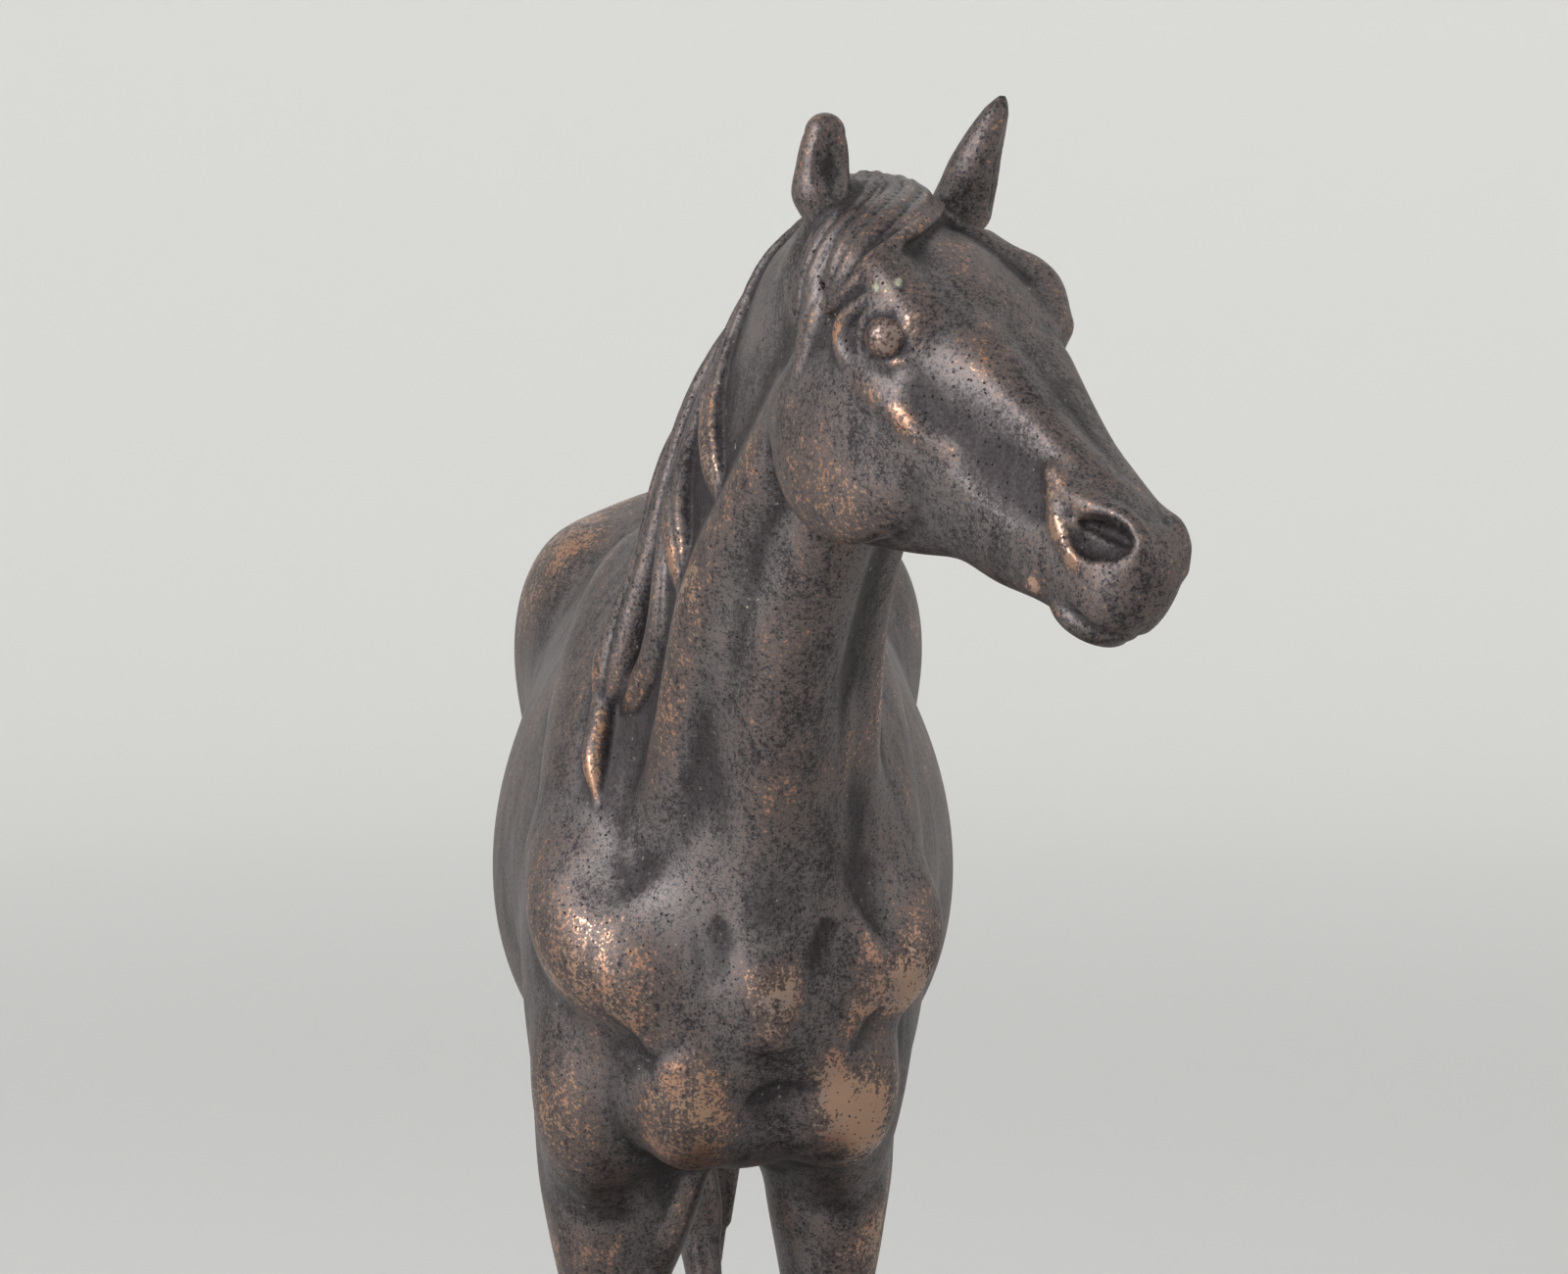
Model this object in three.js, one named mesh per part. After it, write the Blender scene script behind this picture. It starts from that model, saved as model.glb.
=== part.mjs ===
// A standing horse cast in metal, with its head turned to its left, on a low plinth.
//
// The horse is worked out as one smooth form: lofts for the trunk, neck, head and legs,
// ellipsoids for the muscles and ropes for the hair, melted together. The form is then
// sampled on a grid, turned into a skin of triangles and thinned to a light mesh.
//
// Millimetres, +Z up. The horse looks along -Y, so its own left side is at +X.
// The origin is the middle of the plinth's underside.

import * as THREE from 'three';
import { surfaceNet } from 'three/addons/libs/surfaceNet.js';
import { MeshoptSimplifier } from 'three/addons/libs/meshopt_simplifier.module.js';

// Driving dimensions

const WITHERS_HEIGHT = 200;
const PLINTH_LENGTH = 236;
const PLINTH_WIDTH = 92;
const PLINTH_HEIGHT = 12;
const PLINTH_CORNER = 20;
const PLINTH_EDGE = 2;
const HORSE_TRIANGLES = 9200;
const GRID_STEP = 1;

// The anatomy below is laid out for a horse of this height, and scaled to WITHERS_HEIGHT.
const PATTERN_HEIGHT = 200;

const BRONZE = { color: 0x4a3a33, roughness: 0.42, metalness: 0.9 };

// Small tools for the form. Each shape is { centre, reach, at }: at(x, y, z) is close to
// the distance to its surface, negative inside, and nothing of it lies beyond reach.

const FAR = 14;

// A point by how far ahead, how far to the horse's left, and how high.
const place = (ahead, left, up) => new THREE.Vector3(left, -ahead, up);

const LEFT = place(0, 1, 0);
const AHEAD = place(1, 0, 0);
const DEGREE = Math.PI / 180;

const smoothMin = (a, b, k) => {
  const h = Math.max(k - Math.abs(a - b), 0) / k;
  return Math.min(a, b) - h * h * k * 0.25;
};
const smoothMax = (a, b, k) => -smoothMin(-a, -b, k);

// Reads a table of stations as smooth curves: every column against the first one.
function smoothTable(rows) {
  const samples = 240;
  const columns = rows[0].length - 1;
  const first = rows[0][0];
  const last = rows[rows.length - 1][0];
  const data = new Float64Array(samples * columns);
  const slope = (i, c) => {
    const a = rows[Math.max(i - 1, 0)];
    const b = rows[Math.min(i + 1, rows.length - 1)];
    return (b[c] - a[c]) / (b[0] - a[0]);
  };
  let i = 0;
  for (let n = 0; n < samples; n++) {
    const s = first + ((last - first) * n) / (samples - 1);
    while (i < rows.length - 2 && s > rows[i + 1][0]) i++;
    const width = rows[i + 1][0] - rows[i][0];
    const t = (s - rows[i][0]) / width;
    for (let c = 1; c <= columns; c++) {
      data[n * columns + c - 1] =
        rows[i][c] * (1 + 2 * t) * (1 - t) ** 2 +
        slope(i, c) * width * t * (1 - t) ** 2 +
        rows[i + 1][c] * t * t * (3 - 2 * t) +
        slope(i + 1, c) * width * t * t * (t - 1);
    }
  }
  return (s, out) => {
    const at = ((Math.min(Math.max(s, first), last) - first) / (last - first)) * (samples - 1);
    const n = Math.min(Math.floor(at), samples - 2);
    const t = at - n;
    for (let c = 0; c < columns; c++) {
      out[c] = data[n * columns + c] * (1 - t) + data[(n + 1) * columns + c] * t;
    }
    return out;
  };
}

// A body swept along a straight axis. Each row is
// [station, side shift, top, bottom, half width, egg, twist]: egg widens the top of the
// section, and twist turns the section about the axis, in degrees.
function loft({ origin, along, across, rows, power = 2, caps = [5, 5] }) {
  const T = along.clone().normalize();
  const S = across.clone().addScaledVector(T, -across.dot(T)).normalize();
  const U = new THREE.Vector3().crossVectors(T, S);
  const table = smoothTable(rows);
  const first = rows[0][0];
  const last = rows[rows.length - 1][0];
  const out = new Float64Array(6);

  const middle = table((first + last) / 2, out);
  const centre = origin.clone()
    .addScaledVector(T, (first + last) / 2)
    .addScaledVector(S, middle[0])
    .addScaledVector(U, (middle[1] + middle[2]) / 2);
  let reach = 0;
  for (const row of rows) {
    for (const v of [row[2], row[3]]) {
      for (const side of [-1, 1]) {
        const corner = origin.clone()
          .addScaledVector(T, row[0])
          .addScaledVector(S, row[1] + side * row[4])
          .addScaledVector(U, v);
        reach = Math.max(reach, corner.distanceTo(centre) + Math.max(...caps));
      }
    }
  }

  const at = (x, y, z) => {
    const dx = x - origin.x, dy = y - origin.y, dz = z - origin.z;
    const s = dx * T.x + dy * T.y + dz * T.z;
    table(s, out);
    let p = dx * S.x + dy * S.y + dz * S.z - out[0];
    let q = dx * U.x + dy * U.y + dz * U.z;
    if (out[5]) {
      const c = Math.cos(out[5] * DEGREE), n = Math.sin(out[5] * DEGREE);
      [p, q] = [p * c + q * n, q * c - p * n];
    }
    const high = (out[1] - out[2]) / 2;
    const v = (q - (out[1] + out[2]) / 2) / high;
    const wide = out[3] * (1 + out[4] * Math.max(-1, Math.min(1, v)));
    const u = p / wide;
    const cap = s < first ? caps[0] : caps[1];
    const e = s < first ? (first - s) / cap : s > last ? (s - last) / cap : 0;
    const au = Math.abs(u) + 1e-9, av = Math.abs(v) + 1e-9;
    const r = (au ** power + av ** power + e ** power) ** (1 / power);
    const g = Math.hypot(au ** (power - 1) / wide, av ** (power - 1) / high, e ** (power - 1) / cap);
    if (r < 0.3) return -0.7 * Math.min(high, wide);
    return ((r - 1) * r ** (power - 1)) / g;
  };
  // A point on or near the loft: how far along, then left and up in the twisted section.
  const on = (s, left, up) => {
    table(s, out);
    const c = Math.cos((out[5] || 0) * DEGREE), n = Math.sin((out[5] || 0) * DEGREE);
    return origin.clone()
      .addScaledVector(T, s)
      .addScaledVector(S, out[0] + left * c - up * n)
      .addScaledVector(U, left * n + up * c);
  };
  // A knot for a lock lying on the loft: its angle is from the top, and lift is off the skin.
  const skin = (s, angle, lift, radius) => {
    table(s, out);
    const c = Math.cos(angle * DEGREE), n = Math.sin(angle * DEGREE);
    const high = (out[1] - out[2]) / 2;
    const middle = (out[1] + out[2]) / 2;
    const wide = out[3] * (1 + out[4] * c);
    const point = on(s, (wide + lift) * n, middle + (high + lift) * c);
    const normal = point.clone().sub(on(s, wide * n * 0.3, middle + high * c * 0.6)).normalize();
    return [point, radius, normal];
  };
  return { centre, reach, at, on, skin };
}

// An ellipsoid stretched between two points; facing is the direction that thick is measured in.
function muscle(from, to, wide, thick, facing = LEFT) {
  const centre = from.clone().add(to).multiplyScalar(0.5);
  const long = from.distanceTo(to) / 2;
  const A = to.clone().sub(from).normalize();
  const N = facing.clone().addScaledVector(A, -facing.dot(A)).normalize();
  const W = new THREE.Vector3().crossVectors(A, N);
  const at = (x, y, z) => {
    const dx = x - centre.x, dy = y - centre.y, dz = z - centre.z;
    const a = (dx * A.x + dy * A.y + dz * A.z) / long;
    const w = (dx * W.x + dy * W.y + dz * W.z) / wide;
    const n = (dx * N.x + dy * N.y + dz * N.z) / thick;
    const r = Math.hypot(a, w, n) + 1e-9;
    return (r * (r - 1)) / (Math.hypot(a / long, w / wide, n / thick) + 1e-9);
  };
  return { centre, reach: Math.max(long, wide, thick), at };
}

// A tapering rope along a smooth curve through the knots [point, radius]. With a normal as
// a knot's third entry it is a flat lock of hair, flat times as thick along that normal.
function rope(knots, flat = 1, pieces = 5) {
  const curve = new THREE.CatmullRomCurve3(knots.map((k) => k[0]));
  const steps = (knots.length - 1) * pieces;
  const radius = smoothTable(knots.map((k, i) => [i, k[1]]));
  const points = [];
  const radii = [];
  const normals = [];
  for (let i = 0; i <= steps; i++) {
    const t = i / steps;
    const k = Math.min(Math.floor(t * (knots.length - 1)), knots.length - 2);
    const f = t * (knots.length - 1) - k;
    const ease = f * f * (3 - 2 * f);
    points.push(curve.getPoint(t));
    radii.push(radius(k + f, [0])[0]);
    if (flat < 1) normals.push(knots[k][2].clone().lerp(knots[k + 1][2], ease).normalize());
  }
  const box = new THREE.Box3().setFromPoints(points);
  const centre = box.getCenter(new THREE.Vector3());
  const reach = Math.max(...points.map((p, i) => p.distanceTo(centre) + radii[i]));
  const stretch = 1 / flat - 1;
  const at = (x, y, z) => {
    let best = Infinity;
    for (let i = 0; i < steps; i++) {
      const a = points[i], b = points[i + 1];
      const bx = b.x - a.x, by = b.y - a.y, bz = b.z - a.z;
      const px = x - a.x, py = y - a.y, pz = z - a.z;
      const t = Math.max(0, Math.min(1, (px * bx + py * by + pz * bz) / (bx * bx + by * by + bz * bz)));
      let qx = px - t * bx, qy = py - t * by, qz = pz - t * bz;
      if (flat < 1) {
        const N = normals[i];
        const n = (qx * N.x + qy * N.y + qz * N.z) * stretch;
        qx += n * N.x;
        qy += n * N.y;
        qz += n * N.z;
      }
      const d = (Math.hypot(qx, qy, qz) - radii[i] * (1 - t) - radii[i + 1] * t) * (flat < 1 ? 0.7 : 1);
      best = Math.min(best, d);
    }
    return best;
  };
  return { centre, reach, at };
}

// Melts the steps together in order. Each step is [shape, softness, 'cut' or nothing].
function melt(steps) {
  return (x, y, z) => {
    let d = 1e3;
    for (const [shape, soft, action] of steps) {
      const dx = x - shape.centre.x, dy = y - shape.centre.y, dz = z - shape.centre.z;
      const gap = Math.sqrt(dx * dx + dy * dy + dz * dz) - shape.reach;
      if (gap > FAR) {
        if (action !== 'cut') d = Math.min(d, gap);
      } else if (action === 'cut') {
        d = smoothMax(d, -shape.at(x, y, z), soft);
      } else {
        d = smoothMin(d, shape.at(x, y, z), soft);
      }
    }
    return d;
  };
}

const SIDES = [-1, 1];

// Trunk: ribcage, loin and croup in one loft, with the muscles that show on it

function trunk() {
  // ahead, side shift, top, bottom, half width, egg
  const rows = [
    [-98, 0, 178, 140, 15, 0],
    [-90, 0, 188, 126, 23, 0.05],
    [-75, 0, 195, 116, 30.5, 0.08],
    [-58, 0, 198, 112, 33, 0.1],
    [-40, 0, 196.5, 112, 32.5, 0.05],
    [-22, 0, 193, 109, 33, -0.05],
    [-4, 0, 190.5, 105, 34.5, -0.1],
    [14, 0, 189, 103, 35, -0.12],
    [32, 0, 192, 104, 33, -0.15],
    [48, 0, 198.5, 106, 28.5, -0.2],
    [62, 0, 197, 106.5, 25.5, -0.15],
    [76, 0.5, 185, 107, 24.5, -0.05],
    [88, 1.5, 166, 112, 22, 0],
    [94, 2, 152, 122, 17, 0],
  ];
  const body = loft({ origin: place(0, 0, 0), along: AHEAD, across: LEFT, rows, caps: [5, 5] });
  const steps = [[body, 1]];
  for (const side of SIDES) {
    const p = (ahead, left, up) => place(ahead, side * left, up);
    steps.push(
      [muscle(p(46, 12, 190), p(84, 18.5, 140), 12, 8.5), 8],
      [muscle(p(32, 19, 158), p(70, 19.5, 124), 13, 8.5), 8],
      [muscle(p(-34, 22.8, 186), p(-62, 23.4, 164), 12, 8.5), 10],
      [muscle(p(-46, 19, 181), p(-98, 12, 152), 18, 14), 12],
      [muscle(p(-36, 24, 140), p(-70, 22, 116), 16, 11), 12],
    );
  }
  return steps;
}

// Chest: the points of the shoulders over the two breast muscles, with a knob between them

function chest() {
  const p = place;
  return [
    [muscle(p(78, -22, 152), p(95, -9, 133), 10.5, 8.5, AHEAD), 4],
    [muscle(p(78, 22, 150), p(93, 17.5, 132), 9, 7.5, AHEAD), 4],
    [muscle(p(80, -17.5, 133), p(75, -18, 104), 8.6, 9, AHEAD), 6],
    [muscle(p(77, 16.5, 131), p(72, 15, 104), 7.6, 8.5, AHEAD), 6],
    [muscle(p(84, -6, 109.5), p(92.5, -2.5, 132), 9, 8, AHEAD), 3.4],
    [muscle(p(82, 15, 109.5), p(90, 13, 131), 8.6, 8, AHEAD), 4.5],
    [muscle(p(66, -3.5, 109), p(66, -9.5, 91), 6, 2.4), 4],
    [muscle(p(95.5, 5, 152), p(98.6, 5, 128), 5.4, 4.6, AHEAD), 5],
    // furrows beside the knob, under the points of the shoulders and between the two muscles
    [rope([[p(100.6, -1.6, 144), 0.5], [p(102.8, -1, 137), 1], [p(102, 1, 130), 0.8]]), 3, 'cut'],
    [rope([[p(98.4, 12.4, 144), 0.5], [p(101.2, 11.6, 137), 1], [p(101, 9.6, 130), 0.8]]), 3, 'cut'],
    [rope([[p(92.6, -14, 122.6), 0.5], [p(98, -8.6, 127), 1], [p(102.4, -2.4, 129.6), 0.8]]), 2.2, 'cut'],
    [rope([[p(101.6, 8.4, 128.6), 0.7], [p(98.6, 14, 127.6), 1], [p(93, 22.4, 126.6), 0.6]]), 2.2, 'cut'],
    [rope([[p(101.6, 4.4, 126), 0.6], [p(98.4, 4.8, 119), 1.3], [p(92, 4.4, 109), 1.6]]), 2, 'cut'],
    [rope([[p(90, -9, 109.5), 0.5], [p(92, -3, 110.5), 0.8], [p(92, 2.4, 113.5), 0.5]]), 1.4, 'cut'],
    [rope([[p(86, 12, 108.5), 0.5], [p(86.5, 17, 111.5), 0.7], [p(82, 22, 117), 0.4]]), 1.4, 'cut'],
  ];
}

// Legs: each is a loft down a straight line from body to ground. A row is
// [height, ahead, half width across, half depth fore and aft].

const FORELEG = [
  [150, 71, 9, 16],
  [135, 67, 10, 17],
  [122, 64, 10.4, 15.5],
  [111, 62.5, 10.4, 13],
  [103, 61.6, 10, 11.4],
  [95, 61.2, 8.8, 9.8],
  [86, 61.2, 7.1, 8.1],
  [77, 62, 5.9, 6.6],
  [69, 63.2, 6, 6.4],
  [61, 63.2, 6, 6.2],
  [55, 62.4, 4.8, 5.1],
  [48, 62, 3.7, 4.6],
  [37, 61.8, 3.4, 4.6],
  [30, 61.6, 4.3, 5.4],
  [25, 62, 4.7, 5.6],
  [19, 64.3, 3.9, 4.5],
  [14.5, 66.6, 4.5, 5.1],
];

const HINDLEG = [
  [168, -70, 12, 26],
  [150, -70, 13, 27],
  [134, -67, 13, 24.5],
  [120, -64.5, 11, 20],
  [107, -66, 8.6, 15],
  [95, -72, 6.4, 11],
  [86, -79.5, 5, 9.2],
  [79, -86, 4.6, 8.8],
  [72, -89, 4.9, 8],
  [64, -89.5, 4.7, 6.6],
  [56, -89, 3.8, 5.5],
  [44, -88.5, 3.2, 4.8],
  [34, -88.5, 3.4, 4.9],
  [29, -88.5, 4.3, 5.7],
  [24.5, -88, 4.5, 5.7],
  [19, -85.5, 3.8, 4.7],
  [14.5, -83, 4.4, 5.3],
];

// How each leg stands: where its line runs, left of the middle, at its top and on the ground,
// and how far the hoof is moved ahead of the plain leg.
const STANCE = [
  { rows: FORELEG, side: -1, from: -17.5, to: -14.5, swing: 4, girth: 1 },
  { rows: FORELEG, side: 1, from: 14.5, to: 14, swing: -4, girth: 0.9 },
  { rows: HINDLEG, side: -1, from: -17, to: 2, swing: 19, girth: 0.86 },
  { rows: HINDLEG, side: 1, from: 17, to: 14.5, swing: -5, girth: 0.95 },
];

const CORONET = 14.5;
const HOOF = [
  [CORONET, 0.4, 5.3, 6.4],
  [CORONET / 2, 1.2, 6.3, 7.8],
  [0, 2.2, 7.4, 9.2],
  [-3, 2.6, 7.8, 9.6],
];

function leg({ rows, side, from, to, swing, girth }) {
  const hind = rows === HINDLEG;
  const top = rows[0][0];
  // How far down the leg a height is, from nought at its top to one at the fetlock.
  const drop = (up) => Math.max(0, Math.min(1, (top - up) / (top - 20)));
  const line = (up) => from + (to - from) * drop(up);
  const down = place(0, 0, -1);
  const limb = loft({
    origin: place(0, 0, 0),
    along: down,
    across: LEFT,
    rows: rows.map(([up, ahead, across, deep]) => {
      const middle = ahead + swing * drop(up);
      return [-up, line(up), middle + deep, middle - deep, across * (up < 115 ? girth : 1), 0];
    }),
  });
  const toe = rows[rows.length - 1][1] + swing;
  const box = loft({
    origin: place(0, 0, 0),
    along: down,
    across: LEFT,
    rows: HOOF.map(([up, shift, across, deep]) => {
      const middle = toe + shift;
      return [-up, to, middle + deep, middle - deep, across, 0];
    }),
    power: 2.3,
    caps: [1.6, 1],
  });
  const p = (ahead, out, up) => place(ahead + swing * drop(up), line(up) + side * out * girth, up);
  const steps = [[limb, 6], [box, 0.8]];
  if (hind) {
    steps.push(
      [rope([[p(-76, 0, 112), 3], [p(-84, 0, 97), 2.4], [p(-96, 0, 83), 2.7]]), 5],
      [rope([[p(-96.5, 0, 83), 2.6], [p(-94.6, 0, 70), 1.9], [p(-92.6, 0, 58), 1.6]]), 2.5],
      [muscle(p(-84, 3.4, 74), p(-86, 3.4, 64), 3.4, 1.8), 2.5],
      [muscle(p(-84, -3.4, 76), p(-87, -3.4, 64), 3.4, 1.8), 2.5],
      [muscle(p(-48, 5, 126), p(-54, 3, 108), 7, 6), 6],
      [muscle(p(-92.6, 0, 28), p(-93.4, 0, 23), 2.2, 2.2), 2],
      [muscle(p(-92, 1.6, 56), p(-91.5, 1.6, 30), 1.7, 1.7), 1.5],
      [muscle(p(-92, -1.6, 56), p(-91.5, -1.6, 30), 1.7, 1.7), 1.5],
    );
  } else {
    steps.push(
      [muscle(p(71, 3, 117), p(64, 1.4, 84), 4.5, 5), 3],
      [muscle(p(56, 3.5, 118), p(58, 1.4, 86), 5, 4), 3],
      [muscle(p(68, -5, 116), p(63, -2.6, 92), 6, 4.6), 3],
      [muscle(p(48, 1, 121), p(44, 1, 110), 4.5, 5), 4],
      [muscle(p(68, 0, 70), p(68, 0, 59), 4.2, 2.4, AHEAD), 2.5],
      [muscle(p(57, 0, 69), p(57, 0, 62), 2.2, 2.2), 2],
      [muscle(p(57.6, 0, 28), p(56.8, 0, 22.5), 2.2, 2.2), 2],
      [muscle(p(58.6, 1.6, 56), p(58.6, 1.6, 30), 1.7, 1.7), 1.5],
      [muscle(p(58.6, -1.6, 56), p(58.6, -1.6, 30), 1.7, 1.7), 1.5],
    );
  }
  return steps;
}

// Neck: from the shoulders up to the poll, bending and turning to the left as it rises

const NECK_FOOT = place(74, 2, 168);
const NECK_HEAD = place(116, 13, 218);
const NECK_LONG = NECK_FOOT.distanceTo(NECK_HEAD);

function neck() {
  // share of the length, side shift, crest, throat, half width, egg, twist
  const shares = [
    [-0.35, 1.6, 26, -28, 18, -0.1, 2],
    [0, 0, 33, -32, 17, -0.12, 6],
    [0.25, -0.8, 34, -27.5, 14.3, -0.18, 8],
    [0.5, -2, 32.5, -22.5, 12.8, -0.2, 8],
    [0.75, -0.3, 29, -18.5, 11.4, -0.18, 8],
    [1, 1.4, 23, -16, 10, -0.1, 12],
    [1.12, 1.6, 16, -13, 9, 0, 14],
  ];
  const rows = shares.map(([share, ...rest]) => [share * NECK_LONG, ...rest]);
  const along = NECK_HEAD.clone().sub(NECK_FOOT);
  const column = loft({ origin: NECK_FOOT, along, across: LEFT, rows, caps: [8, 6] });
  const on = (share, left, up) => column.on(share * NECK_LONG, left, up);
  const steps = [[column, 9]];
  for (const side of SIDES) {
    const band = [[on(1, side * 8, -8), 3], [on(0.5, side * 10, -11), 3.6], [on(-0.05, side * 11, -20), 4.6]];
    const groove = [
      [on(0.95, side * 6.6, -17.5), 1],
      [on(0.5, side * 8.4, -20.5), 1.3],
      [on(0.12, side * 9.6, -29), 0.7],
    ];
    steps.push([rope(band), 4], [rope(groove), 2.5, 'cut']);
  }
  steps.push([rope([[on(1.02, 0, -9), 4], [on(0.5, 0, -18.5), 5], [on(0, 0, -28.5), 5.5]]), 3]);
  return { steps, column };
}

// Head: its own frame runs from the poll down to the lips, and is turned, dropped and tilted

const HEAD_TURN = 35;
const HEAD_DROP = 31;
const HEAD_TILT = 8;
const POLL = place(122, 19, 236.3);

function headFrame() {
  const turn = HEAD_TURN * DEGREE, drop = HEAD_DROP * DEGREE;
  const T = place(Math.cos(turn) * Math.cos(drop), Math.sin(turn) * Math.cos(drop), -Math.sin(drop));
  const S = place(-Math.sin(turn), Math.cos(turn), 0).applyAxisAngle(T, -HEAD_TILT * DEGREE);
  const U = new THREE.Vector3().crossVectors(T, S);
  const way = (down, left, up) => new THREE.Vector3()
    .addScaledVector(T, down)
    .addScaledVector(S, left)
    .addScaledVector(U, up);
  return { T, S, U, way, on: (down, left, up) => way(down, left, up).add(POLL) };
}

const HEAD = headFrame();

function head() {
  // down the face, side shift, face line, jaw line, half width, egg
  const rows = [
    [-2, 0, -1, -15, 8.5, 0.1],
    [6, 0, 1.6, -23, 10.6, 0.15],
    [13, 0, 2.8, -31.5, 12.2, 0.2],
    [21, 0, 2.4, -35.2, 12.9, 0.28],
    [30, 0, 0.2, -31.4, 11.2, 0.3],
    [39, 0, -2.4, -26.6, 9, 0.22],
    [47, -0.2, -4, -24.8, 7.2, 0.1],
    [54, -0.4, -4.8, -22.6, 6.6, 0],
    [59, -0.7, -5.2, -21.5, 6.2, 0],
    [62.5, -1, -5.8, -20.9, 5.9, 0],
  ];
  const skull = loft({ origin: POLL, along: HEAD.T, across: HEAD.S, rows, power: 2.3, caps: [4, 6.2] });
  const chin = muscle(HEAD.on(56, -0.8, -20.2), HEAD.on(66, -0.8, -20), 4.8, 2.2, HEAD.U);
  const steps = [[skull, 3], [chin, 0.8]];
  for (const side of SIDES) {
    const p = (down, out, up) => HEAD.on(down, side * out, up);
    const rise = side > 0 ? 0.9 : -1.6;
    const slim = side > 0 ? 1.1 : 0;
    const upperLid = [
      [p(21.4, 12.9, -11), 0.4],
      [p(20.3, 13.3, -9.2), 0.7],
      [p(19.9, 13.8, -7), 0.8],
      [p(20.7, 14, -4.8), 0.7],
      [p(22.6, 13.9, -3.5), 0.35],
    ];
    const lowerLid = [
      [p(21.8, 12.6, -9.6), 0.35],
      [p(23.8, 13, -9.9), 0.5],
      [p(25.8, 12.9, -9), 0.5],
      [p(27.2, 12.4, -7.6), 0.3],
    ];
    const fold = [
      [p(21.4, 12.5, -12.3), 0.5],
      [p(18.6, 12.9, -12.3), 0.9],
      [p(16.9, 13.2, -10.9), 1.1],
      [p(16.7, 13.7, -8.5), 1.1],
      [p(17.9, 13.9, -5.9), 1],
      [p(19.8, 13.8, -3.7), 0.6],
      [p(22, 13.3, -2.7), 0.3],
    ];
    const rim = [
      [p(50.4, 6.2 - slim, -8), 0.5],
      [p(53.1, 6.5 - slim, -10), 0.9],
      [p(55.9, 6.6 - slim, -11.7), 1.05],
      [p(59.3, 6.4 - slim, -13), 1],
      [p(62.8, 5.8 - slim, -13), 0.6],
    ];
    const flap = [
      [p(50.6, 5.9 - slim, -7.6), 0.6],
      [p(55, 5.9 - slim, -8.2), 1.2],
      [p(58.8, 5.3 - slim, -7.3), 1.3],
      [p(62.4, 4.4 - slim, -6.5), 1.1],
      [p(65, 4 - slim, -7.4), 0.9],
      [p(66, 4.4 - slim, -9.6), 0.6],
    ];
    const slot = [
      [p(57.8, 5.6 - slim, -9.8), 0.5],
      [p(60.6, 4.6 - slim, -9), 1],
      [p(63.4, 3.8 - slim, -8.6), 0.5],
    ];
    const mouth = [
      [p(56.2, 6.2, -20.2), 0.35],
      [p(59, 6.6, -19.4), 0.55],
      [p(62.4, 5.8, -18.7), 0.6],
      [p(65.6, 4, -18.7), 0.7],
      [p(68.4, 0, -18.6), 0.7],
    ];
    steps.push(
      // the flat round cheek, the bone of the brow and the ridge along the face
      [muscle(p(6.5, 8.2, -20.5), p(34 - slim, 6.8, -21.5 + slim), 13.6 - slim, 5.2, HEAD.S), 2],
      [muscle(p(16, 7.9, -15.5), p(34, 7.5, -15.5), 4.5, 3, HEAD.S), 3],
      [rope([[p(9, 9.4, rise), 1.9], [p(17.5, 12.2, rise + 0.2), 2.3], [p(24.4, 11, rise - 1.6), 1.5]]), 5],
      [rope([[p(23, 11.2, -13.4), 1.2], [p(29, 10.9, -13.2), 1.5], [p(37, 8.6, -13.2), 1]]), 2.2],
      [rope([[p(31, 6, -3 - slim), 1.6], [p(45, 4.2, -5.6 - slim), 1.4], [p(55, 3.4, -6.4 - slim), 1]]), 4],
      // hollows over the brow and between the ridge and the nose
      [muscle(p(9, 12, 0), p(14, 12.4, -0.5), 2.2, 1.4, HEAD.S), 3, 'cut'],
      [muscle(p(32, 12, -9), p(50, 8.2, -11), 3.4, 1.8, HEAD.S), 4, 'cut'],
      // the eye in its socket, under its lids
      [muscle(p(19.8, 14.1, -8), p(26.4, 13.6, -6.8), 3, 1.6, HEAD.S), 0.7, 'cut'],
      [muscle(p(20.7, 12.8, -6.7), p(26.3, 12.8, -6.7), 2.8, 2.8, HEAD.S), 0.25],
      [rope(fold), 0.9],
      [rope(upperLid), 0.5],
      [rope(lowerLid), 0.5],
      [rope([[p(27, 13, -6.6), 0.35], [p(28.4, 12.6, -6), 0.35], [p(30, 12, -5.4), 0.2]]), 0.5, 'cut'],
      // nostril, lips and the corner of the mouth
      [rope(rim), 1],
      [rope(flap), 1.6],
      [muscle(p(57.4, 7.2 - slim, -11), p(65.2, 4.8 - slim, -8.2), 2.6, 1.6, HEAD.S), 0.6, 'cut'],
      [rope(slot), 0.5, 'cut'],
      [muscle(p(53.4, 5, -20), p(56.4, 5, -19.8), 1.1, 1.1), 1],
      [rope(mouth), 0.6, 'cut'],
    );
  }
  const jawGap = [[HEAD.on(13, 0, -33.5), 1.2], [HEAD.on(25, 0, -37.4), 2.6], [HEAD.on(42, 0, -29.4), 1.6]];
  return [...steps, [rope(jawGap), 3, 'cut']];
}

// Ears: leaf-shaped cups on the poll

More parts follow.
